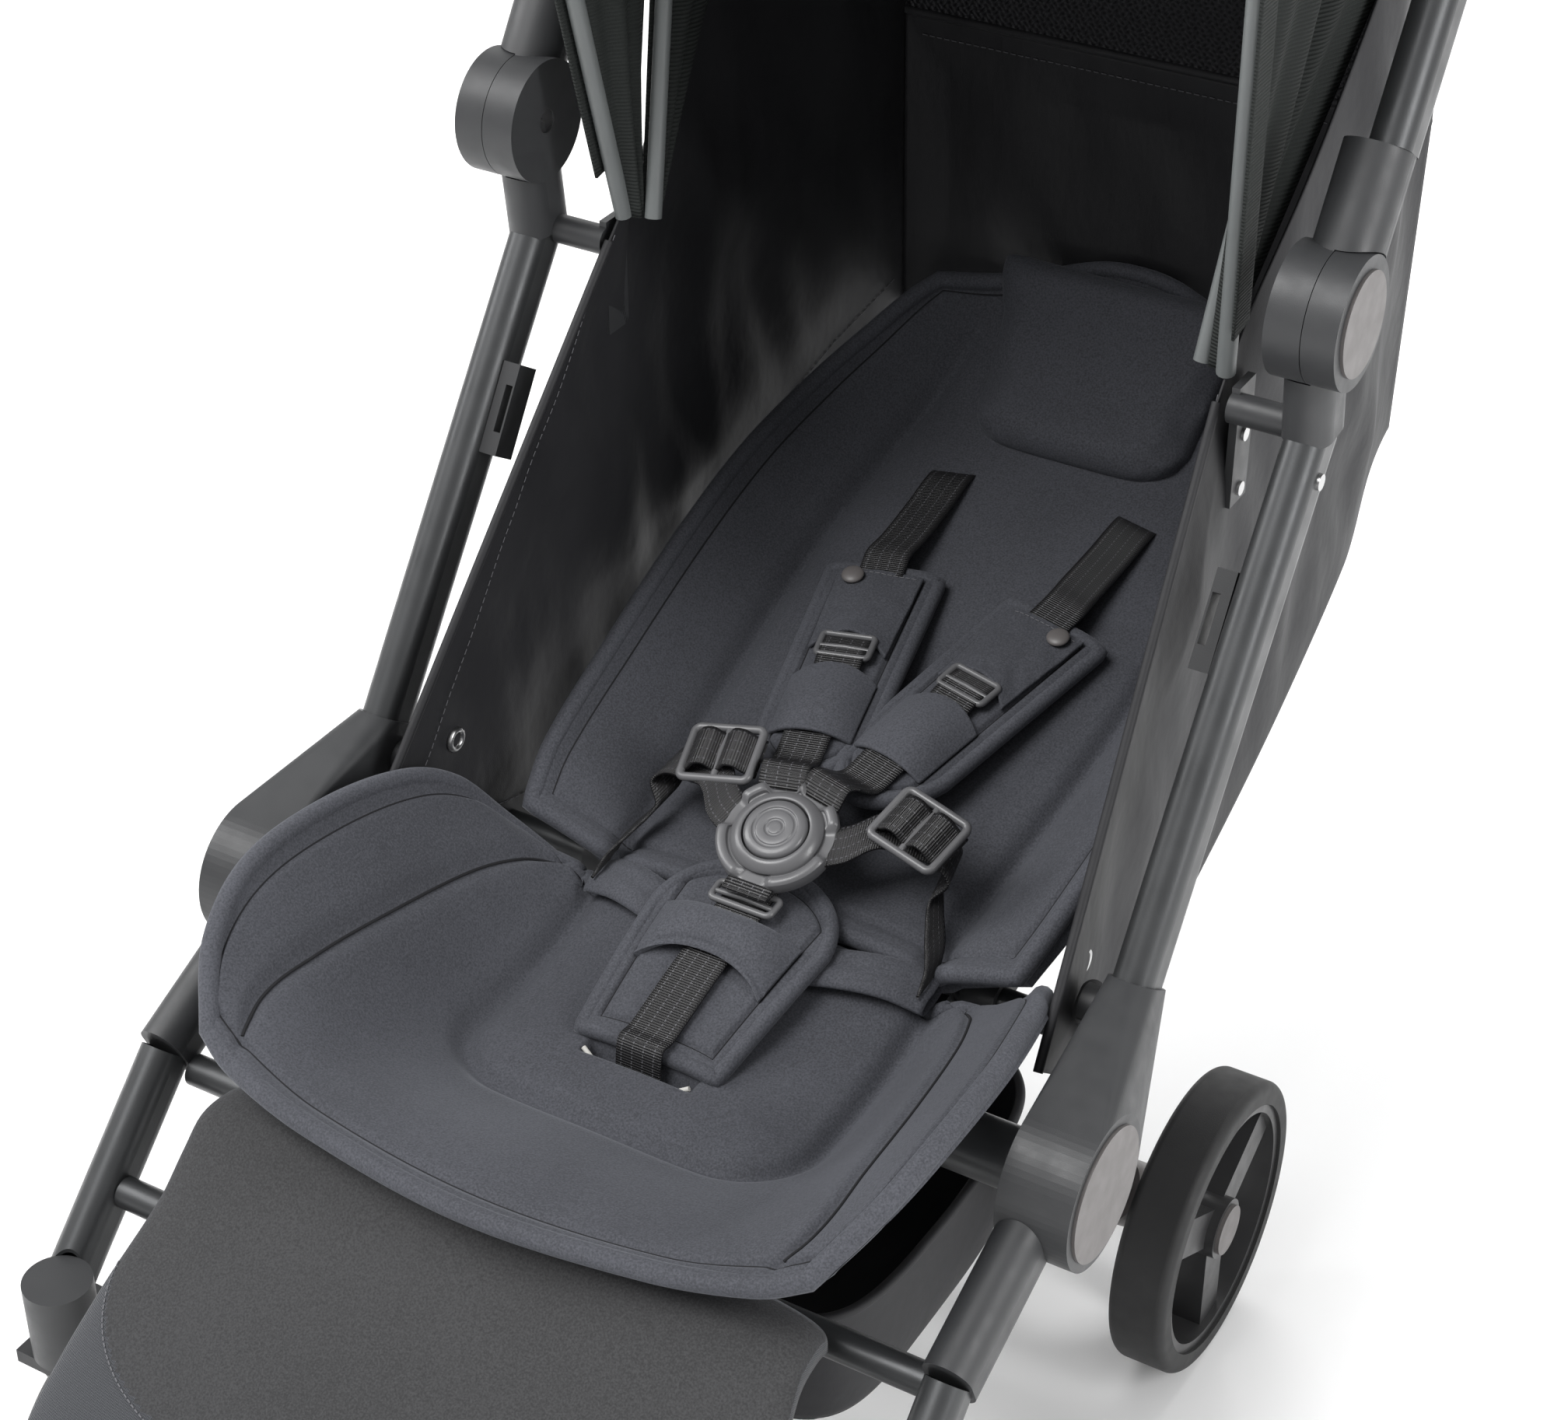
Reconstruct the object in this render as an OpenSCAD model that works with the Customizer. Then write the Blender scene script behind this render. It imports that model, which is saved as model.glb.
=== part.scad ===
// Compact folding pushchair seat unit: side frames with round hinges, a padded
// insert with a five-point harness, a fan canopy, a leg rest and four wheels.
// +Z is up, the child faces -Y, and the origin is on the ground in the middle.

/* [Side frames] */
// Half distance between the centres of the two main tubes
frame_x = 210.6; // [196:0.1:240]
// Thickness of the oval tubes across the pushchair
tube_w = 20; // [16:1:22]
// Depth of the oval tubes in the side view
tube_d = 30; // [24:1:34]
// Wall of the tubes
tube_wall = 1.6; // [1.2:0.1:2.5]
// Length of the main tube between its two collars
main_tube_l = 262; // [230:1:320]
// Slope of the main tube from the ground
main_slope = 54.1; // [50:0.1:60]
// Height of the handle hinge above the ground
hinge_z = 620.6; // [600:0.1:680]
// Position of the handle hinge from the middle, towards the back
hinge_y = 112.4; // [100:0.1:125]
// Radius of the round handle hinge
hinge_r = 31; // [28:0.5:36]
// Radius of the caps on the round housings, less than the housing
cap_inset = 6.6; // [4:0.1:9]
// Radius of the lower knuckle
knuckle_r = 37; // [33:0.5:40]
// Radius of the hinge pins
hinge_pin_r = 6; // [4:0.5:8]

/* [Handle] */
// Distance from the hinge to the handle bar
handle_l = 499; // [470:1:560]
// Slope of the handle from the ground when it is open
handle_slope = 56; // [52:1:62]
// Radius of the grip
grip_r = 15; // [12:0.5:18]

/* [Wheels and legs] */
// Radius of the rear tyre
rear_r = 82; // [70:1:90]
// Width of the rear tyre
rear_w = 32; // [24:1:36]
// Thickness of the tyre on its rim
tyre_t = 12; // [8:0.5:16]
// Length of the rear leg from the knuckle to the wheel
rear_leg_l = 313.3; // [300:0.1:340]
// Radius of the front tyre
front_r = 68; // [60:1:72]
// Width of the front tyre
front_w = 28; // [22:1:32]
// Distance that the front wheel trails behind its swivel
trail = 28; // [20:1:32]
// Radius of the wheel axles
axle_r = 5; // [4:0.5:6]

/* [Seat] */
// Half width of the seat cushion
seat_x = 128; // [110:1:134]
// Thickness of the seat cushion
seat_t = 17; // [12:1:24]
// Slope of the backrest when it is laid down
back_tilt = 16; // [10:1:20]
// Length of the backrest from its hinge
back_l = 385; // [350:1:395]
// Height of the backrest cushion above the hinge tube
back_h = 26; // [24:0.5:30]
// Length of the leg rest
leg_rest_l = 178; // [140:1:200]
// Slope of the leg rest
leg_rest_slope = 33; // [20:1:45]
// Width of the harness webbing
web_w = 24; // [20:1:28]
// Thickness of the harness webbing
web_t = 1.6; // [1.2:0.1:2.4]
// Radius of the harness buckle
buckle_r = 27; // [24:0.5:30]

/* [Canopy] */
// Distance from the canopy pivot to the top of its bows
canopy_r = 430; // [400:1:440]
// Half distance between the canopy pivots
canopy_x = 163.5; // [160:0.5:168]
// Angle by which the sides of the canopy spread as they rise
canopy_flare = 4.5; // [2:0.1:5]
// Radius of the canopy's upper corners
canopy_corner = 110; // [80:1:130]
// Radius of the canopy bow tubes
bow_r = 5; // [4:0.5:5]

/* [Clearances] */
// Gap between pieces that move past each other
gap = 0.4; // [0.3:0.05:0.6]
// Radial clearance of a pin in its bore
fit = 0.05; // [0.02:0.01:0.1]

/* [Hidden] */
$fn = 72;

// Side-view points are [y, z]. A slope points up and back from its start.
function along(p, slope, l) = p + l * [cos(slope), sin(slope)];

hinge = [hinge_y, hinge_z];
collar_top = hinge + [7.6, -61.6];
collar_low = along(collar_top, main_slope, -main_tube_l);
knuckle = collar_low + [-86.1, -47.6];
rear_leg_slope = asin((knuckle[1] - rear_r) / rear_leg_l);
rear_hub = along(knuckle, -rear_leg_slope, rear_leg_l);
hinge_seam = frame_x + 3.9;
hinge_in = frame_x - 13.6;
hinge_out = frame_x + 19.9;
cap_t = 1.5;
knuckle_in = frame_x - 7.6;
knuckle_out = frame_x + 27.9;
socket_in = frame_x - tube_w / 2 - 2;

// Handle
handle_x = frame_x + 10.4;
arm_l = 76;
handle_end = along(hinge, handle_slope, handle_l);
handle_elbow = along(hinge, handle_slope, handle_l - tube_d / 2 + 1.5);
bar_x = 140;
bar_r = 8;
button_x = 16;
button_drop = 4;

// Rear legs and wheels
rear_leg_x = frame_x - 43.6;
rear_hub_r = 15;
rear_wheel_x = frame_x + 5.4 - rear_w / 2;
boot_l = 62;

// Front legs and casters
front_leg_x = frame_x + 4.4;
bracket_end = knuckle + [-98, -42];
caster = [bracket_end[0] - 100, front_r * 2 + 12];
leg_end = [caster[0], caster[1] + 14];
caster_x = front_leg_x - 8;
fork_x = front_w / 2 + 2;
front_axle = [caster[0] + trail, front_r];

// Seat
waist = knuckle + [135, -37];
seat_front = knuckle + [-128, -29];
seat_dip = knuckle + [8, -56];
seat_back = knuckle + [94, -36];
front_tube = knuckle + [-92, -53];
rail_x = 90;
rail_r = 8;
slot_y = seat_dip[0] + 2;
buckle = waist + [-13, 65];
buckle_tilt = 25;
buckle_t = 14;
wall_x = canopy_x - bow_r - 3;
wall_t = 2.4;
wall_lean = 8.5;
wing_t = 7;
wing_lean = 45;
wall_y = waist[0] + back_l + 3;
leg_rest_axis = seat_front + [-2, -16];

// Canopy
pivot = hinge + [17.6, -60.6];
rear_angle = asin((wall_y + 4 - pivot[0]) / canopy_r);
mid_angle = rear_angle / 2 - 6;
front_angle = -11;
shell_t = 2.4;
front_bow_in = -bow_r;
mid_fabric_in = front_bow_in + 2 * bow_r;
mid_bow_in = mid_fabric_in + shell_t + gap;
rear_fabric_in = mid_bow_in + 2 * bow_r;
canopy_foot = 40;
bow_foot = 12;

module both() {
    children();
    mirror([1, 0, 0]) children();
}

// A cylinder along X from x0 to x1, at a side-view point
module cross(p, r, x0, x1) {
    translate([x0, p[0], p[1]]) rotate([0, 90, 0]) cylinder(r = r, h = x1 - x0);
}

// Oval with straight flanks, round at the ends of its longer side
module oval(w, d) {
    side = abs(d - w);
    turn = d > w ? 0 : 90;
    rotate(turn) {
        if (side > 0.1) square([min(w, d), side], center = true);
        for (s = [-1, 1]) translate([0, s * side / 2]) circle(d = min(w, d));
    }
}

// Oval bar between two side-view points
module bar(x, p, q, w, d) {
    translate([x, p[0], p[1]]) rotate([atan2(p[0] - q[0], q[1] - p[1]), 0, 0])
        linear_extrude(norm(q - p)) oval(w, d);
}

// Oval tube between two side-view points
module tube(x, p, q, w, d) {
    translate([x, p[0], p[1]]) rotate([atan2(p[0] - q[0], q[1] - p[1]), 0, 0])
        linear_extrude(norm(q - p)) difference() {
            oval(w, d);
            oval(w - 2 * tube_wall, d - 2 * tube_wall);
        }
}

// Flat strip between two points in space, w wide across X and t thick
module strip(p, q, w, t) {
    d = q - p;
    translate(p) rotate([atan2(d[2], norm([d[0], d[1]])), 0, -atan2(d[0], d[1])])
        translate([-w / 2, 0, -t / 2]) cube([w, norm(d), t]);
}

// A side-view outline given width across X
module slab(x0, x1, points) {
    translate([x0, 0, 0]) rotate([90, 0, 90]) linear_extrude(x1 - x0) polygon(points);
}

module on_back() {
    translate([0, waist[0], waist[1]]) rotate([back_tilt, 0, 0]) children();
}

// ---------------------------------------------------------------- side frames

module main_tubes() {
    color("dimgray") both() tube(frame_x, collar_top, collar_low, tube_w, tube_d);
}

module hinge_housings() {
    color("darkslategray") both() difference() {
        union() {
            cross(hinge, hinge_r, hinge_seam + gap / 2, hinge_out);
            bar(frame_x, hinge, collar_top, tube_w + 4, tube_d + 4);
        }
        cross(hinge, hinge_r + 0.6, 0, hinge_seam + gap / 2);
        cross(hinge, hinge_pin_r + fit, 0, hinge_out - 6);
        bar(frame_x, collar_top, collar_low, tube_w + 2 * fit, tube_d + 2 * fit);
    }
}

module hinge_caps() {
    color("gray") both() cross(hinge, hinge_r - cap_inset, hinge_out, hinge_out + cap_t);
}

module frame_pins() {
    color("silver") both() {
        cross(hinge, hinge_pin_r, hinge_in + 1, hinge_out - 6);
        cross(knuckle, hinge_pin_r, rear_leg_x - tube_w / 2 - 3, knuckle_out - 6);
    }
}

module knuckle_housings() {
    color("darkslategray") both() difference() {
        hull() {
            cross(knuckle, knuckle_r, knuckle_in, knuckle_out);
            bar(frame_x, collar_low, along(collar_low, main_slope, -40), tube_w + 4, tube_d + 4);
        }
        cross(knuckle, hinge_pin_r + fit, 0, knuckle_out - 6);
    }
}

module knuckle_caps() {
    color("gray") both()
        cross(knuckle, knuckle_r - 4.7, knuckle_out, knuckle_out + cap_t);
}

module front_leg_brackets() {
    color("darkslategray") both() difference() {
        bar(front_leg_x, knuckle, bracket_end, tube_w + 4, tube_d + 4);
        cross(knuckle, knuckle_r + 0.1, 0, 2 * frame_x);
    }
}

module front_leg_tubes() {
    color("dimgray") both() difference() {
        tube(front_leg_x, bracket_end, leg_end, tube_w, tube_d - 2);
        translate([caster_x, caster[0], 0]) cylinder(r = 17.1, h = 2 * caster[1]);
        // the bracket's mouth is cut square to its own slope
        bar(front_leg_x, knuckle, bracket_end, tube_w + 4, tube_d + 4);
    }
}

module caster_housings() {
    color("darkslategray") both() translate([caster_x, caster[0], 0]) difference() {
        translate([0, 0, caster[1]]) cylinder(r = 17, h = 44);
        translate([0, 0, caster[1] - 1]) cylinder(r = axle_r + fit, h = 36);
    }
}

module front_crossbar() {
    at = (bracket_end + leg_end) / 2;
    color("dimgray") cross(at, 8, -(front_leg_x - tube_w / 2), front_leg_x - tube_w / 2);
}

module frame_rivets() {
    at = along(collar_top, main_slope, -22);
    color("silver") both() {
        cross(at, 4, frame_x + tube_w / 2, frame_x + tube_w / 2 + 1.6);
        for (drop = [18, 47])
            cross(pivot + [0, -drop], 3.5, canopy_x + 10.5, canopy_x + 12);
    }
}

module strap_clips() {
    at = along(collar_top, main_slope, -95);
    color("black") both() difference() {
        strip([frame_x - tube_w / 2 - 5, at[0] + 13, at[1] + 20],
            [frame_x - tube_w / 2 - 5, at[0] - 13, at[1] - 20], 10, 16);
        strip([frame_x - tube_w / 2 - 7, at[0] + 7, at[1] + 10],
            [frame_x - tube_w / 2 - 7, at[0] - 7, at[1] - 10], 4, 30);
    }
}

// ----------------------------------------------------------------- seat frame

module seat_front_tube() {
    color("dimgray") cross(front_tube, rail_r, -(front_leg_x - tube_w / 2 - 2),
        front_leg_x - tube_w / 2 - 2);
}

module seat_side_brackets() {
    top = collar_low + [-6, -16];
    color("darkslategray") both() {
        cross(top, 9, 188, socket_in);
        difference() {
            bar(190, top, waist, 12, 22);
            cross(waist, rail_r + fit, 180, 200);
        }
    }
}

module recline_tube() {
    color("dimgray") cross(waist, rail_r, -196, 196);
}

module seat_rails() {
    low = seat_dip + [0, -rail_r - 8];
    flat = [0, rail_r - 2];
    color("dimgray") both() difference() {
        union() {
            slab(rail_x - 7, rail_x + 7, [front_tube + flat, low + flat, waist + flat,
                waist - flat, low - flat, front_tube - flat]);
            cross(waist, rail_r + 4, rail_x - 8, rail_x + 8);
            cross(front_tube, rail_r + 3, rail_x - 8, rail_x + 8);
        }
        cross(waist, rail_r + fit, 0, frame_x);
        cross(front_tube, rail_r + fit, 0, frame_x);
    }
}

module seat_base() {
    t = 3;
    color("black") slab(-seat_x, seat_x, [seat_front, seat_dip, seat_back,
        seat_back - [0, t], seat_dip - [0, t], seat_front - [0, t]]);
}

module seat_cushion() {
    color("slategray") difference() {
        slab(-seat_x, seat_x, [
            seat_front + [-8, 4], seat_front + [0, gap], seat_dip + [0, gap], seat_back + [0, gap],
            seat_back + [0, seat_t], seat_dip + [0, seat_t],
            seat_front + [28, seat_t - 6], seat_front + [6, seat_t + 12],
            seat_front + [-10, seat_t + 8]]);
        // slot that the crotch strap comes up through
        translate([-20, slot_y - 4, 0]) cube([40, 8, 400]);
    }
}

// Each wing is a low upright strip with a wide flap that leans out from it
module seat_wings() {
    rise = seat_dip[1] + 47;
    lift = wing_t * cos(wing_lean);
    function on_flap(p) = [p[0], (p[1] - lift - rise) / cos(wing_lean)];
    color("slategray") both() {
        slab(seat_x + gap, seat_x + 8, [
            seat_front + [-3, 4], seat_front + [-3, 32], seat_front + [34, 36],
            seat_back + [-44, 40], seat_back + [-14, 28], seat_back + [4, 12],
            seat_dip + [0, 4]]);
        translate([seat_x + gap, 0, rise]) rotate([0, wing_lean, 0]) slab(-wing_t, 0, [
            for (p = [seat_front + [4, 37], seat_front + [6, 52], seat_front + [34, 68],
                seat_front + [74, 81], seat_front + [126, 80], seat_back + [-42, 76],
                seat_back + [-14, 58], seat_back + [-8, 38]]) on_flap(p)]);
    }
}

// Each wall leans out below the canopy pivots and stands upright above them. A
// bent strip is cut to the wall's outline
module side_walls() {
    top = pivot[1] + 24;
    low = seat_dip[1];
    high = pivot[1] + canopy_r;
    out = (top - low) * tan(wall_lean);
    foot = waist + [5, 48];
    color("black") both() intersection() {
        translate([0, wall_y, 0]) rotate([90, 0, 0]) linear_extrude(2 * wall_y)
            polygon([[wall_x, high], [wall_x - wall_t, high], [wall_x - wall_t, top],
                [wall_x - wall_t + out, low], [wall_x + out, low], [wall_x, top]]);
        slab(wall_x - 2 * wall_t, wall_x + out + wall_t, [knuckle + [48, 62], foot,
            foot + [back_l - 6, 82], [wall_y + 1, foot[1] + 82],
            [wall_y + 1, pivot[1] + (wall_y - pivot[0]) / tan(rear_angle) - 12],
            [pivot[0] + 26, top - 1], pivot + [26, 4], pivot + [-2, 2]]);
    }
}

module back_wall() {
    color("black") slab(-wall_x, wall_x, [[wall_y + gap, waist[1] + 86],
        [wall_y + gap + wall_t, waist[1] + 86], [wall_y + gap + wall_t, pivot[1] + 26],
        [wall_y + gap, pivot[1] + 26]]);
}

module window_panel() {
    color("black") slab(-wall_x, wall_x, [[wall_y + gap, pivot[1] + 27],
        [wall_y + gap + wall_t, pivot[1] + 27],
        [wall_y + gap + wall_t, pivot[1] + canopy_r * cos(rear_angle) - 60],
        [wall_y + gap, pivot[1] + canopy_r * cos(rear_angle) - 60]]);
}

module basket() {
    front = knuckle[0] - 66;
    back = knuckle[0] + 168;
    floor_z = knuckle[1] - 176;
    top_z = knuckle[1] - 92;
    wall = 2.4;
    color("black") difference() {
        slab(-140, 140, [[front, top_z], [front + 14, floor_z], [back - 14, floor_z],
            [back, top_z - 4]]);
        slab(-140 + wall, 140 - wall, [[front + wall, top_z + 1],
            [front + 14 + wall, floor_z + wall], [back - 14 - wall, floor_z + wall],
            [back - wall, top_z + 1]]);
    }
}

// -------------------------------------------------------------------- harness

module crotch_strap() {
    bend = [0, slot_y, seat_dip[1] + seat_t + 12.5];
    color("black") {
        strip([0, slot_y, seat_dip[1] + 2], bend - [0, 0, 1], web_w, web_t);
        strip(bend, [0, buckle[0] - buckle_r - 1, buckle[1] - 12], web_w, web_t);
    }
}

module crotch_pad() {
    start = [0, slot_y + 4, seat_dip[1] + seat_t + 6.5];
    color("slategray") strip(start, start + [0, 105, 28], 78, 7);
}

module at_buckle() {
    translate([0, buckle[0], buckle[1]]) rotate([buckle_tilt, 0, 0]) children();
}

module buckle_body() {
    color("gray") at_buckle() difference() {
        translate([0, 0, -buckle_t / 2]) cylinder(r = buckle_r, h = buckle_t);
        translate([0, 0, -buckle_t / 2 + 3]) cylinder(r = buckle_r - 10, h = buckle_t);
    }
}

module buckle_button() {
    color("silver") at_buckle() translate([0, 0, -buckle_t / 2 + 7])
        cylinder(r = buckle_r - 10 - gap, h = buckle_t - 6);
}

module waist_straps() {
    color("black") both() {
        strip([rail_x - 4, buckle[0] - 18, waist[1] + 30], [74.5, buckle[0] - 8, buckle[1] - 12],
            web_w - 4, web_t);
        strip([50, buckle[0] - 5, buckle[1] - 7], [buckle_r + 3, buckle[0], buckle[1] - 2],
            web_w - 4, web_t);
    }
}

module waist_adjusters() {
    color("gray") both() translate([62, buckle[0] - 6, buckle[1] - 8]) rotate([20, 24, 0])
        difference() {
            cube([14, 30, 5], center = true);
            for (s = [-1, 1]) translate([s * 3.2, 0, 0]) cube([3.4, web_w, 6], center = true);
        }
}

// ------------------------------------------------------------------- backrest

module backrest_board() {
    color("dimgray") on_back() difference() {
        union() {
            translate([-122, 24, back_h - 30]) cube([244, back_l - 40, 6]);
            both() {
                translate([102, 0, 0]) rotate([0, 90, 0]) cylinder(r = rail_r + 4, h = 18);
                translate([102, 0, back_h - 34]) cube([18, 40, 8]);
            }
        }
        translate([-150, 0, 0]) rotate([0, 90, 0]) cylinder(r = rail_r + fit, h = 300);
    }
}

module backrest_cushion() {
    base = back_h - 23.5;
    color("slategray") on_back() {
        slab(-112, 112, [[16, base], [back_l - 62, base], [back_l + 4, back_h + 44],
            [back_l - 4, back_h + 56], [back_l - 78, back_h], [16, back_h]]);
        both() slab(98, 145, [[14, base + 1], [back_l - 66, base + 1], [back_l - 82, back_h + 24],
            [60, back_h + 24], [14, back_h - 1]]);
    }
}

module head_pillow() {
    color("slategray") on_back() slab(-72, 72, [[back_l - 84, back_h + 1],
        [back_l - 76, back_h + 3], [back_l - 6, back_h + 58.5], [back_l - 20, back_h + 76],
        [back_l - 92, back_h + 16]]);
}

pad_top = [60, 222, back_h + 15];
pad_end = [30, 80, back_h + 31];

module shoulder_straps() {
    color("black") on_back() both() {
        strip([54, back_l - 95, back_h + 1.5], pad_top + [-1, 5, 0], web_w, web_t);
        strip(pad_end + [-1, -5, 0], pad_end + [-4, -14, -1], web_w, web_t);
    }
}

module shoulder_pads() {
    color("slategray") on_back() both() strip(pad_top, pad_end, 50, 12);
}

// --------------------------------------------------------------------- canopy

// Where the side of a bow at the given inset starts its upper corner, as [x, radius]
function canopy_centre() =
    let (c = canopy_corner, rise = canopy_r - c - c * sin(canopy_flare) - canopy_foot)
    [canopy_x + rise * tan(canopy_flare) - c * cos(canopy_flare), canopy_r - c];

function on_corner(a, inset) =
    canopy_centre() + (canopy_corner - inset) * [cos(a), sin(a)];

// Half outline of the canopy in a plane through its pivots, as [radius, x]
function canopy_profile(inset) = concat(
    [[canopy_foot, canopy_x - inset]],
    [for (i = [0:8]) let (p = on_corner(-canopy_flare + i * (90 + canopy_flare) / 8, inset))
        [p[1], p[0]]],
    [[canopy_r - inset, 0]]);

function mirrored(points) = [for (p = points) [p[0], -p[1]]];
function reversed(points) = [for (i = [len(points) - 1:-1:0]) points[i]];

// Curved sheet that spans from angle a0 to a1, measured back from the vertical
module canopy_sheet(a0, a1, inset) {
    outer = canopy_profile(inset);
    inner = canopy_profile(inset + shell_t);
    translate([0, pivot[0], pivot[1]]) rotate([90 - a1, 0, 0]) rotate([0, 90, 0])
        rotate([0, 0, 90]) rotate_extrude(angle = a1 - a0)
            polygon(concat(outer, mirrored(reversed(outer)), mirrored(inner),
                reversed(inner)));
}

// Bow bent to the canopy's outline at one angle, 2 * r wide and thick
module canopy_bow(a, inset, r) {
    line = concat([[bow_foot, canopy_x - inset]], canopy_profile(inset));
    inner = concat([[bow_foot, canopy_x - inset - 2 * r]], canopy_profile(inset + 2 * r));
    translate([0, pivot[0], pivot[1]]) rotate([90 - a, 0, 0]) rotate([0, 0, 90])
        translate([0, 0, -r]) linear_extrude(2 * r)
            polygon(concat(line, mirrored(reversed(line)), mirrored(inner), reversed(inner)));
}

module canopy_brackets() {
    color("darkslategray") both() {
        slab(canopy_x + 6.5, canopy_x + 10.5, [pivot + [-9, 9], pivot + [9, 9],
            pivot + [9, -54], pivot + [-9, -54]]);
        cross(pivot + [-8, -1.5], 7.5, canopy_x + 6.5, frame_x - tube_w / 2 - 2);
    }
}

module canopy_rear_fabric() {
    color("black") canopy_sheet(mid_angle + 2, rear_angle, rear_fabric_in);
}

module canopy_mid_bow() {
    color("gray") canopy_bow(mid_angle, mid_bow_in, bow_r - gap);
}

module canopy_mid_fabric() {
    color("darkolivegreen") canopy_sheet(front_angle, mid_angle + 1, mid_fabric_in);
}

module canopy_front_bow() {
    color("lightgray") canopy_bow(front_angle, front_bow_in, bow_r - gap);
}

// ------------------------------------------------------------------- leg rest

module at_leg_rest() {
    translate([0, leg_rest_axis[0], leg_rest_axis[1]]) rotate([leg_rest_slope, 0, 0])
        children();
}

module leg_rest_frame() {
    r = 6;
    color("dimgray") at_leg_rest() {
        both() translate([138, 0, -4]) rotate([90, 0, 0]) cylinder(r = r, h = leg_rest_l - 20);
        translate([-138, -(leg_rest_l - 20), -4]) rotate([0, 90, 0]) cylinder(r = r, h = 276);
    }
}

module leg_rest_panel() {
    color("darkgray") at_leg_rest() difference() {
        translate([-160, -leg_rest_l, -12]) cube([320, leg_rest_l - 4, 22]);
        translate([-150, -leg_rest_l + 10, -10.6]) cube([300, leg_rest_l - 4, 13.2]);
    }
}

// --------------------------------------------------------------------- handle

module handle_arms() {
    color("darkslategray") both() difference() {
        union() {
            cross(hinge, hinge_r, hinge_in, hinge_seam - gap / 2);
            bar(handle_x - 6, hinge, along(hinge, handle_slope, arm_l), tube_w + 12, tube_d + 5);
        }
        cross(hinge, hinge_r + 0.6, hinge_seam - gap / 2, frame_x * 2);
        cross(hinge, hinge_pin_r + fit, 0, frame_x * 2);
    }
}

module handle_tubes() {
    color("dimgray") both() tube(handle_x, along(hinge, handle_slope, arm_l), handle_elbow,
        tube_w, tube_d);
}

module handle_bar() {
    color("dimgray") difference() {
        union() {
            for (s = [-1, 1]) cross(handle_end, tube_d / 2 - 2, min(s * bar_x, s * handle_x),
                max(s * bar_x, s * handle_x));
            cross(handle_end, bar_r, -bar_x - 1, bar_x + 1);
            cross(handle_end, grip_r, -button_x - 10, button_x + 10);
        }
        translate([-button_x - gap, handle_end[0] - 8 - gap, handle_end[1] + button_drop])
            cube([2 * (button_x + gap), 2 * (8 + gap), grip_r]);
    }
}

module handle_grip() {
    color("black") both() difference() {
        cross(handle_end, grip_r, button_x + 12, bar_x - 0.2);
        cross(handle_end, bar_r + fit, button_x, bar_x + 1);
    }
}

module fold_button() {
    color("gray") translate([-button_x, handle_end[0] - 8, handle_end[1] + button_drop + 4.5])
        cube([2 * button_x, 16, grip_r - button_drop - 2.5]);
}

// ------------------------------------------------------- rear legs and wheels

module rear_legs() {
    boot = along(rear_hub, -rear_leg_slope, -boot_l);
    color("dimgray") both() difference() {
        union() {
            cross(knuckle, rear_hub_r, rear_leg_x - tube_w / 2, socket_in - gap);
            tube(rear_leg_x, along(knuckle, -rear_leg_slope, rear_hub_r - 6), boot,
                tube_w, tube_d - 4);
        }
        cross(knuckle, hinge_pin_r + fit, 0, frame_x);
    }
}

module rear_leg_boots() {
    boot = along(rear_hub, -rear_leg_slope, -boot_l);
    color("lightslategray") both() difference() {
        union() {
            bar(rear_leg_x, boot, rear_hub, tube_w + 6, tube_d + 6);
            cross(rear_hub, 14, rear_leg_x - tube_w / 2 - 3, rear_wheel_x - rear_w / 2 - gap);
        }
        cross(rear_hub, 8 + fit, 0, rear_leg_x);
        cross(rear_hub, axle_r + fit, 0, frame_x);
    }
}

module rear_axle() {
    color("silver") union() {
        cross(rear_hub, 8, -rear_leg_x, rear_leg_x);
        both() cross(rear_hub, axle_r, rear_leg_x, rear_wheel_x + rear_w / 2 - 3);
    }
}

module brake_pedal() {
    tip = rear_hub + [52, -6];
    color("darkslategray") difference() {
        union() {
            cross(rear_hub, 14, -34, 34);
            slab(-34, 34, [rear_hub + [0, 12], tip + [0, 12], tip + [6, 4], tip,
                rear_hub + [0, -8]]);
        }
        cross(rear_hub, 8 + fit, -40, 40);
    }
}

// Wheel with three broad spokes, centred on the axle
module wheel(r, w, bore) {
    rotate([0, 90, 0]) difference() {
        union() {
            difference() {
                cylinder(r = r - tyre_t, h = w - 4, center = true);
                cylinder(r = r - tyre_t - 5, h = w, center = true);
            }
            cylinder(r = 17, h = w - 2, center = true);
            for (a = [0, 120, 240]) rotate([0, 0, a]) translate([r / 2 - tyre_t / 2, 0, 0])
                cube([r - tyre_t - 6, 22, w - 12], center = true);
        }
        cylinder(r = bore + fit, h = w + 2, center = true);
    }
}

module tyre(r, w) {
    edge = 5;
    rotate([0, 90, 0]) rotate_extrude() union() {
        translate([r - tyre_t + fit, -w / 2]) square([tyre_t - edge, w]);
        translate([r - tyre_t + fit, -w / 2 + edge]) square([tyre_t - fit, w - 2 * edge]);
        for (s = [-1, 1]) translate([r - edge, s * (w / 2 - edge)]) circle(r = edge);
    }
}

module rear_wheel_right() {
    color("dimgray") translate([rear_wheel_x, rear_hub[0], rear_hub[1]])
        wheel(rear_r, rear_w, axle_r);
}

module rear_wheel_left() {
    mirror([1, 0, 0]) rear_wheel_right();
}

module rear_tyre_right() {
    color("black") translate([rear_wheel_x, rear_hub[0], rear_hub[1]]) tyre(rear_r, rear_w);
}

module rear_tyre_left() {
    mirror([1, 0, 0]) rear_tyre_right();
}

module rear_cap_right() {
    color("gray") cross(rear_hub, 14, rear_wheel_x + rear_w / 2 - 1,
        rear_wheel_x + rear_w / 2 + 1.2);
}

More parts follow.
